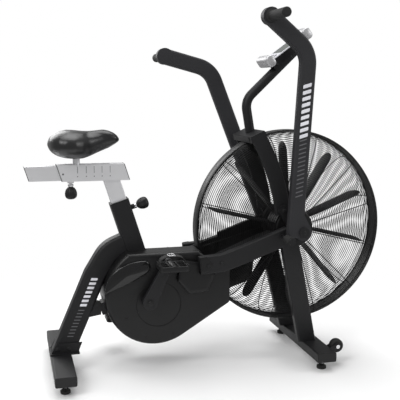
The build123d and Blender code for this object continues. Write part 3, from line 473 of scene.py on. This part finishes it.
def hoops(profile, side, around=112, sides=5):
    """A round wire bent into a circle at each (radius, height) of the profile, square to the axle."""
    turn = np.linspace(0, 2 * math.pi, around, endpoint=False)[None, :, None]
    roll = np.linspace(0, 2 * math.pi, sides, endpoint=False)[None, None, :]
    reach = profile[:, 0, None, None] + wire * np.cos(roll)
    reach = np.broadcast_to(reach, (len(profile), around, sides))
    height = side * profile[:, 1, None, None] + wire * np.sin(roll) + 0 * turn
    rows = np.stack([fan_axle[0] + reach * np.cos(turn), height, fan_axle[2] + reach * np.sin(turn)], -1)
    return skin(rows, wrap_rows=True)


spoke_count, spoke_start = 12, 15.5
for side, word in ((-1, "right"), (1, "left")):
    parts = [hoops(meridian(45)[1:], side)]
    line = meridian(40)
    for n in range(spoke_count):
        angle = math.radians(spoke_start + 360 / spoke_count * n)
        out = np.array([math.cos(angle), 0, math.sin(angle)])
        path = fan_axle + (line[:, :1] - 2.4 * wire) * out + side * (line[:, 1:] - 2.0 * wire) * Y
        parts.append(tube(path, circle(1.7 * MM, 8), np.cross(out, Y)))
    plate = [(0.0, 0.016), (0.0, 0.066), (0.0012, 0.0695), (0.003, 0.071), (0.0044, 0.0695), (0.0048, 0.064),
             (0.0048, 0.046), (0.0062, 0.043), (0.0062, 0.018), (0.0052, 0.016)]
    parts.append(turned(plate, fan_axle + side * (cage_face - 0.0062) * Y, side * Y, 72))
    piece("cage_wires_" + word, parts, "frame", "cage_paint", ["cage_" + word])
band = [(-band_half, cage_radius - 0.004), (-band_half, cage_radius - 0.0008), (0.001 - band_half, cage_radius),
        (band_half - 0.001, cage_radius), (band_half, cage_radius - 0.0008), (band_half, cage_radius - 0.004),
        (band_half - 0.003, cage_radius - 0.0045), (band_half - 0.005, cage_radius - 0.0025),
        (0.005 - band_half, cage_radius - 0.0025), (0.003 - band_half, cage_radius - 0.0045)]
turn = np.linspace(0, 2 * math.pi, 180, endpoint=False)[:, None]
band = np.array(band)
hoop = np.stack([fan_axle[0] + band[:, 1] * np.cos(turn), band[:, 0] + 0 * turn,
                 fan_axle[2] + band[:, 1] * np.sin(turn)], -1)
piece("cage_rim_band", [skin(hoop, wrap_rows=True)], "frame", "cage_paint", ["cage_band"])

# ---- fan -------------------------------------------------------------------------------
blade_half = ends("fan_blades")[1][1]
tip = 0.315
stop_angle = 22.0


def paddle(angle):
    """One cupped fan blade: an ellipse across the blade, bowed by its own square, narrowed to a round tip."""
    reach = np.concatenate([np.linspace(0.055, tip - 0.04, 12), tip - 0.04 * np.cos(np.linspace(0.1, 1, 9) * math.pi / 2)])
    end = np.clip((reach - (tip - 0.04)) / 0.04, 0, 1)
    wide = blade_half * np.sqrt(1 - end ** 2) * np.clip(0.72 + (reach - 0.055) * 4, 0, 1)
    turn = np.linspace(0, 2 * math.pi, 22, endpoint=False)
    across = wide[:, None] * np.cos(turn)
    cup = 0.010 * (wide / blade_half)[:, None] ** 2 * np.sin(turn) ** 2
    thick = 0.0014 * np.sqrt(wide / blade_half)[:, None] * np.sin(turn)
    out = np.array([math.cos(angle), 0, math.sin(angle)])
    lift = np.array([-math.sin(angle), 0, math.cos(angle)])
    rows = fan_axle + reach[:, None, None] * out + across[..., None] * Y + (cup + thick)[..., None] * lift
    return skin(capped(rows))


piece("fan_paddles", [paddle(math.radians(stop_angle + 36 * n)) for n in range(10)], "fan", "fan_paint",
      ["fan_blades"], 60)

# ---- grips, pegs, knobs ----------------------------------------------------------------
for side, word in ((-1, "right"), (1, "left")):
    low, high = ends(word + "_grip")
    middle = (low + high) / 2
    inner = side * min(abs(low[1]), abs(high[1]))
    base = np.array([middle[0], inner, middle[2]])
    foam = [(0.0, 0.0135), (0.0, 0.0215), (0.0008, 0.0228), (0.0030, 0.0228), (0.0042, 0.0212), (0.0050, 0.0172)]
    ribs = [(0.0060 + 0.0032 * n, 0.0164 - 0.0005 * (n % 2)) for n in range(36)]
    foam += ribs + [(0.1300, 0.0165), (0.1370, 0.0163), (0.1392, 0.0150), (0.1400, 0.0125), (0.1400, 0.002)]
    piece(word + "_grip_foam", [turned(foam, base, side * Y, 40)], word + "_lever", "rubber_black",
          [word + "_grip"], 50)


def knurled(base, axis, length, radius, depth=0.0007):
    """A sleeve whose radius drops where two crossed sine waves run over it, with plain rounded ends."""
    run = np.linspace(0, 1, 68)[:, None]
    turn = np.linspace(0, 2 * math.pi, 96, endpoint=False)[None, :]
    spiral = np.abs(np.sin(12 * turn + 26 * run)) * np.abs(np.sin(12 * turn - 26 * run))
    edge = np.clip(np.minimum(run, 1 - run) / 0.03, 0, 1)
    reach = radius - 0.0018 * (1 - edge) ** 2 - depth * (1 - spiral) * edge
    rows = np.asarray(base) + run[..., None] * length * axis + reach[..., None] * (
        np.cos(turn)[..., None] * X + np.sin(turn)[..., None] * Z)
    return skin(capped(rows))


peg_low, peg_high = ends("foot_peg_sleeves")
peg = (peg_low + peg_high) / 2
peg_length = 0.051
parts = [knurled([peg[0], side * (peg_high[1] - peg_length), peg[2]], side * Y, peg_length, 0.015) for side in (-1, 1)]
piece("foot_peg_grips", parts, "frame", "rubber_black", ["foot_peg_sleeves"], 70)

knob_shape = [(0.0, 0.006), (0.0, 0.0085), (0.003, 0.0125), (0.008, 0.0165), (0.015, 0.0192), (0.022, 0.0206),
              (0.028, 0.0206), (0.034, 0.0192), (0.039, 0.0155), (0.042, 0.0095), (0.0430, 0.003)]
collar = [(-0.0105, 0.0050), (-0.0105, 0.0085), (-0.009, 0.0098), (-0.004, 0.0098), (-0.0015, 0.0085), (0.001, 0.006)]


def knob(name, node, axis, body, slot_nodes):
    """A fluted dome on a bright collar and pin, along the axis of the node it stands for."""
    inner, outer = spine(node, axis)
    top = outer - axis * 0.0432
    reach = np.linalg.norm(top - inner)
    dome = turned(knob_shape, top, axis, 56, lobes=7, depth=0.045)
    piece(name, [dome], body, "black_plastic", slot_nodes, 60)
    shank = [(0.0, 0.0032), (0.0, 0.0046), (0.0008, 0.0049), (reach, 0.0049)]
    piece(name + "_shank", [turned(shank, inner, axis, 24), turned(collar, top, axis, 32)], body, "bright_steel",
          (), 40)


knob("post_pin_dome", "post_pin_knob", joints["post_pin_pull"], "post_pin", ["post_pin_knob"])
knob("rail_clamp_dome", "rail_clamp_knob", -Z, "rail_clamp", ["rail_clamp_knob"])

# ---- saddle ----------------------------------------------------------------------------
saddle_back = ends("saddle")[0][0]
saddle_x = saddle_back - 0.003 + 0.25 * np.array([0.0, 0.024, 0.064, 0.14, 0.25, 0.36, 0.46, 0.56, 0.66, 0.76,
                                                  0.86, 0.94, 0.985, 1.0])
saddle_top = np.array([0.812, 0.829, 0.841, 0.8515, 0.8545, 0.8535, 0.8505, 0.8490, 0.8505, 0.8535,
                       0.8520, 0.8440, 0.833, 0.824])
saddle_under = np.array([0.806, 0.790, 0.779, 0.768, 0.7615, 0.7605, 0.7625, 0.7700, 0.7810, 0.7910,
                         0.8010, 0.8090, 0.8150, 0.820])
saddle_half = np.array([0.010, 0.052, 0.076, 0.097, 0.1055, 0.1035, 0.091, 0.070, 0.051, 0.040,
                        0.034, 0.028, 0.018, 0.004])


def saddle_skin(shrink=0.0):
    """Stations along the saddle, each a soft-cornered oval between its top and underside lines, dished along
    the middle behind and drawn in below the widest line."""
    t = np.linspace(0, 1, 72)
    ease = (1 - np.cos(t * math.pi)) / 2 * 0.35 + t * 0.65
    x = saddle_x[0] + (saddle_x[-1] - saddle_x[0]) * ease
    order = [np.interp(x, saddle_x, v) for v in (saddle_top, saddle_under, saddle_half)]
    kernel = np.array([1, 2, 3, 2, 1]) / 9
    top, under, half = [np.concatenate([v[:2], np.convolve(v, kernel, "valid"), v[-2:]]) for v in order]
    turn = np.linspace(0, 2 * math.pi, 64, endpoint=False)[None, :]
    cos, sin = np.cos(turn), np.sin(turn)
    level = (under + (top - under) * 0.50)[:, None]
    y = half[:, None] * np.sign(cos) * np.abs(cos) ** 0.84
    draw = np.where(sin < 0, 1 - 0.16 * np.abs(sin) ** 1.5, 1.0)
    y = y * draw
    above = (top - level[:, 0])[:, None] * np.abs(sin) ** 0.86
    below = (level[:, 0] - under)[:, None] * np.abs(sin) ** 0.72
    up = np.where(sin > 0, above, -below)
    rear = np.clip(1 - np.abs((x - saddle_x[0] - 0.075) / 0.085), 0, 1)[:, None]
    z = level + up - 0.0035 * rear * np.exp(-(y / 0.018) ** 2) * (sin > 0)
    waist = np.exp(-((x - saddle_x[0] - 0.145) / 0.016) ** 2)[:, None]
    y = y * (1 - 0.07 * waist * (sin > -0.6))
    rows = np.stack([np.broadcast_to(x[:, None], y.shape), y * (1 - shrink), (z - level) * (1 - shrink) + level], -1)
    return skin(capped(rows))


saddle = piece("saddle_cover", [saddle_skin(0.02)], "saddle", "saddle_vinyl", ["saddle"], 180)
saddle.parent = None
remesh = saddle.modifiers.new("remesh", "REMESH")
remesh.mode, remesh.voxel_size, remesh.use_smooth_shade = "VOXEL", 0.005, True
depsgraph = bpy.context.evaluated_depsgraph_get()
formed = bpy.data.meshes.new_from_object(saddle.evaluated_get(depsgraph))
saddle.modifiers.clear()
saddle.data = formed
start = np.zeros(len(formed.vertices) * 3)
formed.vertices.foreach_get("co", start)
start = start.reshape(-1, 3)
cloth = saddle.modifiers.new("cloth", "CLOTH")
cloth.settings.use_pressure, cloth.settings.uniform_pressure_force = True, 4.0
cloth.settings.effector_weights.gravity = 0.0
for number in range(1, 21):
    scene.frame_set(number)
blown = bpy.data.meshes.new_from_object(saddle.evaluated_get(bpy.context.evaluated_depsgraph_get()))
saddle.modifiers.clear()
end = np.zeros(len(blown.vertices) * 3)
blown.vertices.foreach_get("co", end)
move = end.reshape(-1, 3) - start
far = np.linalg.norm(move, axis=1, keepdims=True)
move *= np.minimum(1, 0.005 / np.maximum(far, 1e-9))
formed.vertices.foreach_set("co", (start + move).ravel())
formed.materials.clear()
formed.materials.append(finish["saddle_vinyl"])
formed.shade_smooth()
scene.frame_set(1)
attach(saddle, "saddle")
finer = saddle.modifiers.new("finer", "SUBSURF")
finer.levels = finer.render_levels = 1

# ---- seat rail trims, marks and fixings ------------------------------------------------
rail_low, rail_high = ends("rail_sleeve")
lean = math.tan(math.radians(17.5))
sleeve_half = rail_high[1]


def end_trim(x, half, low, high, thick=0.0022):
    """A thin dark frame round a tube's leaning end: a rounded rectangle carried by a small square section."""
    outline = rounded(2 * half - 0.001, (high - low) - 0.001, 0.003)
    z = outline[:, 1] + (high + low) / 2
    path = np.stack([x + (high - z) * lean, outline[:, 0], z], -1)
    return tube(path, rounded(thick, thick, thick * 0.3, 3), X, closed=True)


sleeve_x = (rail_low[0], rail_high[0] - (rail_high[2] - 0.6822) * lean)
parts = [end_trim(sleeve_x[0] - 0.0004, sleeve_half, 0.6827, rail_high[2]),
         end_trim(sleeve_x[1] + 0.0004, sleeve_half, 0.6827, rail_high[2])]
piece("sleeve_end_trims", parts, "seat_post", "black_plastic")
tail_x = ends("saddle_rail")[0][0]
parts = [end_trim(tail_x + 0.0012, 0.025, 0.6862, 0.7355)]
piece("rail_end_trim", parts, "saddle", "black_plastic")
parts = []
for side in (-1, 1):
    for x in np.array([-0.475, -0.445, -0.418, -0.391, -0.363]):
        mark = rounded(0.0016, 0.024, 0.0007, 3) + [x, rail_high[2] - 0.017]
        parts.append(pad_on(mark, side * (sleeve_half - 0.0004), side * (sleeve_half + 0.0002), 0.0002, 0, 3))
        dot = circle(0.0019, 14) + [x, rail_high[2] - 0.040]
        parts.append(pad_on(dot, side * (sleeve_half - 0.0004), side * (sleeve_half + 0.0003), 0.0002, 0, 3))
    # each side gets a grey disc where the pin hole is: painted shade of the hole; the lines and dots above are print
    hole_painted_shade = circle(0.0032, 18) + [-0.524, 0.708]
    parts.append(pad_on(hole_painted_shade, side * (sleeve_half - 0.0004), side * (sleeve_half + 0.0005), 0.0003, 0, 3))
piece("rail_scale_marks_and_hole_shade", parts, "seat_post", "print_and_hole_shade_grey")


def hex_bolt(base, axis, across, high, washer=True):
    """A domed hexagon head on a washer: a turned profile whose radius swells six times round."""
    parts = []
    if washer:
        disc = [(-0.0002, across * 0.2), (-0.0002, across * 0.76), (0.0010, across * 0.78), (0.0014, across * 0.72)]
        parts.append(turned(disc, base, axis, 30))
    head = [(0.0010, across * 0.3), (0.0010, across * 0.52), (high * 0.75, across * 0.52), (high, across * 0.42),
            (high * 1.04, across * 0.1)]
    parts.append(turned(head, base, axis, 30, lobes=6, depth=0.07))
    return parts


def button(base, axis, radius, high):
    """A button head: a turned quarter of an ellipse with a socket dimple."""
    turn = np.linspace(0, math.pi / 2, 6)
    dome = [(-0.0003, radius)] + [(high * math.sin(a), radius * (0.36 + 0.64 * math.cos(a))) for a in turn]
    dome += [(high, radius * 0.34), (high * 0.45, radius * 0.33), (high * 0.45, radius * 0.03)]
    return turned(dome, base, axis, 28)


# ---- pivots, crank ends, frame fixings -------------------------------------------------
cap_y = ends("pivot_caps")[1][1]
parts = []
for side in (-1, 1):
    base = np.array([fan_axle[0], side * (cap_y - 0.0052), fan_axle[2]])
    parts.append(turned([(0, 0.014), (0, 0.0186), (0.001, 0.019), (0.0022, 0.0186), (0.0026, 0.016)], base, side * Y, 40))
    parts += hex_bolt(base + side * 0.0012 * Y, side * Y, 0.0125, 0.0038, False)
piece("lever_pivot_bolts", parts, "frame", "frame_paint", ["pivot_caps"], 35)
parts = []
nut_y = ends("crank_nuts")[1][1]
for side in (-1, 1):
    base = np.array([crank_axle[0], side * (nut_y - 0.0060), crank_axle[2]])
    parts += hex_bolt(base, side * Y, 0.0150, 0.0056)
piece("crank_bolts", parts, "crank", "black_plastic", ["crank_nuts"], 35)

# ---- floor fittings --------------------------------------------------------------------
foot_low, foot_high = ends("levelling_feet")
rear_x, front_x = foot_low[0] + 0.017, foot_high[0] - 0.017
foot_y = foot_high[1] - 0.017
pad = [(0.0, 0.0140), (0.0, 0.0160), (0.0012, 0.0170), (0.0090, 0.0170), (0.0105, 0.0162), (0.0120, 0.0120),
       (0.0150, 0.0105), (0.0165, 0.0060)]
stem = [(0.0150, 0.0040), (0.0150, 0.0046)] + [(0.0156 + 0.0010 * n, 0.0050 - 0.0007 * (n % 2)) for n in range(21)]
nut = [(0.0295, 0.0040), (0.0295, 0.0088), (0.0300, 0.0094), (0.0355, 0.0094), (0.0360, 0.0088), (0.0362, 0.0040)]
parts, steel = [], []
for x in (rear_x, front_x):
    for side in (-1, 1):
        base = np.array([x, side * foot_y, 0.0])
        parts.append(turned(pad, base, Z, 40, lobes=20, depth=0.012))
        steel += [turned(stem, base, Z, 20), turned(nut, base, Z, 30, lobes=6, depth=0.06)]
piece("rubber_feet", parts, "frame", "rubber_black", ["levelling_feet"])
piece("foot_stems", steel, "frame", "bearing_steel")

for side, word in ((-1, "right"), (1, "left")):
    low, high = ends(word + "_wheel")
    middle, radius, half = (low + high) / 2, (high[0] - low[0]) / 2, (high[1] - low[1]) / 2
    tyre = [(-half, 0.0052), (-half, 0.0080), (-half + 0.0015, 0.0085), (-half + 0.0015, radius * 0.66),
            (-half, radius * 0.70), (-half, radius * 0.86), (-half + 0.0022, radius * 0.96),
            (-half + 0.005, radius), (-0.0032, radius), (-0.0024, radius - 0.0016),
            (0.0024, radius - 0.0016), (0.0032, radius), (half - 0.005, radius), (half - 0.0022, radius * 0.96),
            (half, radius * 0.86), (half, radius * 0.70), (half - 0.0015, radius * 0.66), (half - 0.0015, 0.0085),
            (half, 0.0080), (half, 0.0052)]
    piece(word + "_transport_tyre", [turned(tyre, middle, Y, 48)], word + "_wheel", "wheel_rubber",
          [word + "_wheel"])

# ---- pedals ----------------------------------------------------------------------------
for side, word in ((-1, "right"), (1, "left")):
    low, high = ends(word + "_pedal")
    eye = (low + high) / 2
    half = (high - low) / 2
    frame_path = rounded(2 * half[0] - 0.007, 2 * half[1] - 0.007, 0.012, 7)
    path = np.stack([eye[0] + frame_path[:, 0], eye[1] + frame_path[:, 1], np.full(len(frame_path), eye[2])], -1)
    parts = [tube(path, rounded(0.018, 0.0068, 0.002, 4), Z, closed=True)]
    for x in (-0.016, 0.016):
        parts.append(block(eye + [x, 0, 0], (0.0022, half[1] - 0.004, 0.0085)))
    for y in (-0.026, 0.0, 0.026):
        parts.append(block(eye + [0, y, -0.001], (half[0] - 0.004, 0.0020, 0.0065)))
    parts.append(turned([(-half[1] + 0.0005, 0.0060), (-half[1] + 0.0005, 0.0110), (-half[1] + 0.002, 0.0118),
                         (half[1] - 0.002, 0.0118), (half[1] - 0.0005, 0.0110), (half[1] - 0.0005, 0.0030)],
                        eye, side * Y, 32))
    for sx in (-1, 1):
        for y in np.linspace(-0.036, 0.036, 9):
            tooth = eye + [sx * (half[0] - 0.0036), y, 0.0095]
            parts.append(block(tooth, (0.0030, 0.0022, 0.0035), soft=0.5, rows=7, cols=10))
    piece(word + "_pedal_body", parts, word + "_pedal", "black_plastic", [word + "_pedal"], 35)
    low, high = ends(word + "_toe_strap")
    mid, rise = (low + high) / 2, high[2] - low[2]
    arch = smooth([[low[0] + 0.001, mid[1], low[2] + 0.0006], [low[0] + 0.006, mid[1], low[2] + 0.55 * rise],
                   [mid[0] - 0.020, mid[1], high[2] - 0.003], [mid[0] + 0.008, mid[1], high[2] - 0.0016],
                   [high[0] - 0.014, mid[1], low[2] + 0.68 * rise], [high[0] - 0.001, mid[1], low[2] + 0.0006]], 48)
    band_half_wide = (high[1] - low[1]) / 2
    parts = [tube(arch, rounded(2 * band_half_wide - 0.008, 0.0024, 0.0011, 4))]
    piece(word + "_strap_band", parts, word + "_pedal", "strap_web", [word + "_toe_strap"], 50)
    top = arch[24] + [0, 0, 0.0022]
    loop = rounded(0.022, 0.030, 0.004, 5)
    path = np.stack([top[0] + loop[:, 0], top[1] + loop[:, 1], np.full(len(loop), top[2])], -1)
    parts = [tube(path, circle(0.0016, 8), Z, closed=True), block(top + [0.002, 0, 0.0002], (0.0018, 0.013, 0.0014))]
    piece(word + "_strap_buckle", parts, word + "_pedal", "bright_steel", (), 50)

# ---- console ---------------------------------------------------------------------------
press = joints["key_1_press"]
normal = -press / np.linalg.norm(press)
along = np.cross(Y, normal)
case_co = np.array([v.co for v in frame["nodes"]["console_bumpers"].data.vertices])
run, height = case_co @ along, case_co @ normal
console_from, console_to, console_under, console_over = run.min(), run.max(), height.min(), height.max()
console_half = ends("console_bumpers")[1][1]


def console_at(run_at, y, height_at):
    """A point in the console's own directions: along its face, across it and off it."""
    return along * run_at + Y * y + normal * height_at


for name, low_run, high_run in (("lower", console_from, console_from + 0.034), ("upper", console_to - 0.034, console_to)):
    middle = (low_run + high_run) / 2
    parts = []
    section = rounded(0.034, console_over - console_under, 0.0135, 8)
    stations = np.linspace(-1, 1, 49)
    scale = 1 - 0.22 * np.clip((np.abs(stations) - 0.9) / 0.1, 0, 1) ** 2 - 0.035 * (np.abs(np.sin(stations * 22)) < 0.18)
    spots = console_at(middle, 0, (console_over + console_under) / 2) + stations[:, None] * (console_half - 0.0002) * Y
    rows = spots[:, None] + scale[:, None, None] * (section[None, :, :1] * along + section[None, :, 1:] * normal)
    parts.append(skin(capped(rows)))
    piece("console_bumper_" + name, parts, "frame", "console_silver",
          ["console_bumpers"] if name == "lower" else (), 40)

# ---- shroud relief ---------------------------------------------------------------------
face_y = ends("shroud_disc")[0][1] - 0.001
disc_centre = centre("shroud_disc")
for side, word, base, rise, crown in ((-1, "right", face_y + 0.0006, 0.0065, 0.008),
                                      (1, "left", ends("belt_cover")[1][1] - 0.0006, 0.002, 0.003)):
    edge = [[-0.152, 0.030], [-0.143, 0.076], [-0.118, 0.110], [-0.080, 0.131], [-0.035, 0.141],
            [0.000, 0.138], [0.006, 0.104], [-0.040, 0.076], [-0.100, 0.050], [-0.152, 0.030]]
    bulge = smooth(crank_axle[[0, 2]] + np.array(edge), 72)[:-1]
    piece("shroud_dome_" + word, [pad_on(bulge, base, base + side * rise, 0.006, crown, 12)], "frame", "gloss_plastic",
          (), 180)
    boot = fan_axle[[0, 2]] + np.array([[-0.433, -0.087], [-0.346, -0.106], [-0.306, -0.146],
                                        [-0.333, -0.208], [-0.402, -0.214], [-0.444, -0.164]])
    corners = np.concatenate([np.linspace(boot[i], boot[(i + 1) % 6], 12, endpoint=False) for i in range(6)])
    piece("arm_boot_" + word, [pad_on(corners, base, side * 0.1135, 0.009, 0.0, 8)], "frame", "shroud_plastic",
          (), 50)
# a thin dark ring laid over the gap round the shroud disc: painted shade of the groove, not a part of the machine
ring_turn = np.linspace(0, 2 * math.pi, 96, endpoint=False)
ring_path = np.stack([disc_centre[0] + 0.0795 * np.cos(ring_turn), np.full(96, face_y + 0.0002),
                      disc_centre[2] + 0.0795 * np.sin(ring_turn)], -1)
piece("disc_groove_painted_shade", [tube(ring_path, rounded(0.0012, 0.0026, 0.0004, 3), Y, closed=True)], "frame", "groove_painted_shade_black")
parts = []
for degrees in (200, 248, 296):
    x, z = disc_centre[[0, 2]] + 0.122 * np.array([math.cos(math.radians(degrees)), math.sin(math.radians(degrees))])
    parts.append(button(np.array([x, face_y, z]), -Y, 0.0046, 0.0018))
    parts.append(button(np.array([x, 0.107, z]), Y, 0.0046, 0.0018))
piece("shroud_screws", parts, "frame", "black_plastic", (), 40)

lip = MM * np.array([[-367.0, 417.0], [-345.0, 419.0], [-322.0, 390.0], [-338.0, 365.0], [-367.0, 360.0]])
lip[:, 0] += fan_axle[0]
for side, word in ((-1, "right"), (1, "left")):
    corners = np.concatenate([np.linspace(lip[i], lip[(i + 1) % len(lip)], 8, endpoint=False) for i in range(len(lip))])
    piece("boot_lip_" + word, [pad_on(corners, side * 0.1376, side * 0.1402, 0.0016, 0.0, 5)], "frame", "shroud_plastic",
          (), 50)
plug_out = np.array([math.cos(math.radians(114)), math.sin(math.radians(114))])
plug_on = np.array([plug_out[1], -plug_out[0]])
parts = []
for forward in (-0.0308, 0.0288):
    place = fan_axle[[0, 2]] + plug_out * (cage_radius + 0.002 + 0.011) + plug_on * forward
    axes = np.array([[plug_on[0], 0, plug_on[1]], Y, [plug_out[0], 0, plug_out[1]]])
    parts.append(block(np.array([place[0], 0, place[1]]), (0.0010, 0.0885, 0.0098), axes, 0.1))
piece("bridge_covers", parts, "frame", "frame_paint", (), 50)

# ---- printed bars ----------------------------------------------------------------------
def slanted_bar(middle, direction, wide, high, slant):
    """A leaning bar: a rounded rectangle sheared along the direction it stands in."""
    shape = rounded(wide, high, min(wide, high) * 0.18, 3)
    side_way = np.array([direction[1], -direction[0]])
    return middle + shape[:, 1:] * direction + (shape[:, :1]) * side_way + (shape[:, :1] * slant) * direction


def bar_row(start, direction, y, side, count, pitch, wide, high, slant):
    """A row of slanted bars up a tube's side face."""
    rows = []
    for n in range(count):
        rows.append(pad_on(slanted_bar(start + direction * pitch * n, direction, wide, high, slant), y - side * 0.0002,
                           y + side * 0.00025, 0.0001, 0, 3))
    return rows


lever_lean = {"right": math.radians(98.85 - 12.35), "left": math.radians(98.85 + 12.35)}
for side, word in ((-1, "right"), (1, "left")):
    angle = lever_lean[word]
    up = np.array([math.cos(angle), math.sin(angle)])
    root = fan_axle[[0, 2]] + 0.030 * np.array([-math.sin(angle), math.cos(angle)])
    y = side * 0.175
    piece(word + "_lever_bars", bar_row(root + up * 0.340, up, y, side, 9, 0.0215, 0.030, 0.0125, 0.35),
          word + "_lever", "print_white")
    piece(word + "_lever_fine_bars", bar_row(root + up * 0.130, up, y, side, 14, 0.0150, 0.026, 0.0042, 0.35),
          word + "_lever", "print_and_hole_shade_grey")
leg_from, leg_to = np.array([-0.5584, 0.032]), np.array([-0.4215, 0.345])
leg_up = (leg_to - leg_from) / np.linalg.norm(leg_to - leg_from)
for side, word in ((-1, "right"), (1, "left")):
    y = side * 0.030
    piece(word + "_leg_bars", bar_row(leg_from + leg_up * 0.232, leg_up, y, side, 7, 0.0165, 0.022, 0.0095, 0.35), "frame",
          "print_white")
    piece(word + "_leg_fine_bars", bar_row(leg_from + leg_up * 0.112, leg_up, y, side, 9, 0.0125, 0.020, 0.0036, 0.35), "frame",
          "print_and_hole_shade_grey")

# ---- frame bolts -----------------------------------------------------------------------
parts = []
for side in (-1, 1):
    for x, z in ((-0.040, 0.385), (0.010, 0.392)):
        parts += hex_bolt(np.array([x, side * 0.138, z]), side * Y, 0.011, 0.005)
    for x, z in ((-0.560, 0.092), (-0.520, 0.092)):
        parts += hex_bolt(np.array([x, side * 0.034, z]), side * Y, 0.011, 0.005)
    for x, z in ((0.245, 0.566),):
        parts += hex_bolt(np.array([x, side * 0.120, z]), side * Y, 0.012, 0.005)
piece("frame_bolts", parts, "frame", "frame_paint", (), 35)

# ---- floor -----------------------------------------------------------------------------
floor_mesh = bpy.data.meshes.new("floor")
floor_mesh.from_pydata([(-30, -30, 0), (30, -30, 0), (30, 30, 0), (-30, 30, 0)], [], [(0, 1, 2, 3)])
floor = add_object("floor", floor_mesh)
floor_look = Look("floor_paper", Roughness=0.9)
away = floor_look.out(floor_look.node("ShaderNodeVectorMath", {"operation": "LENGTH"}, {0: floor_look.place}), "Value")
fade = floor_look.node("ShaderNodeMapRange", {"interpolation_type": "SMOOTHERSTEP"},
                       {"Value": away, "From Min": 0.75, "From Max": 1.7, "To Min": 1.0, "To Max": 0.0})
floor_look.set(Base_Color=floor_look.mix(floor_look.noise(3, 2), grey(0.90), grey(0.93)),
               Alpha=floor_look.out(fade, "Result"))
floor_mesh.materials.append(floor_look.material)
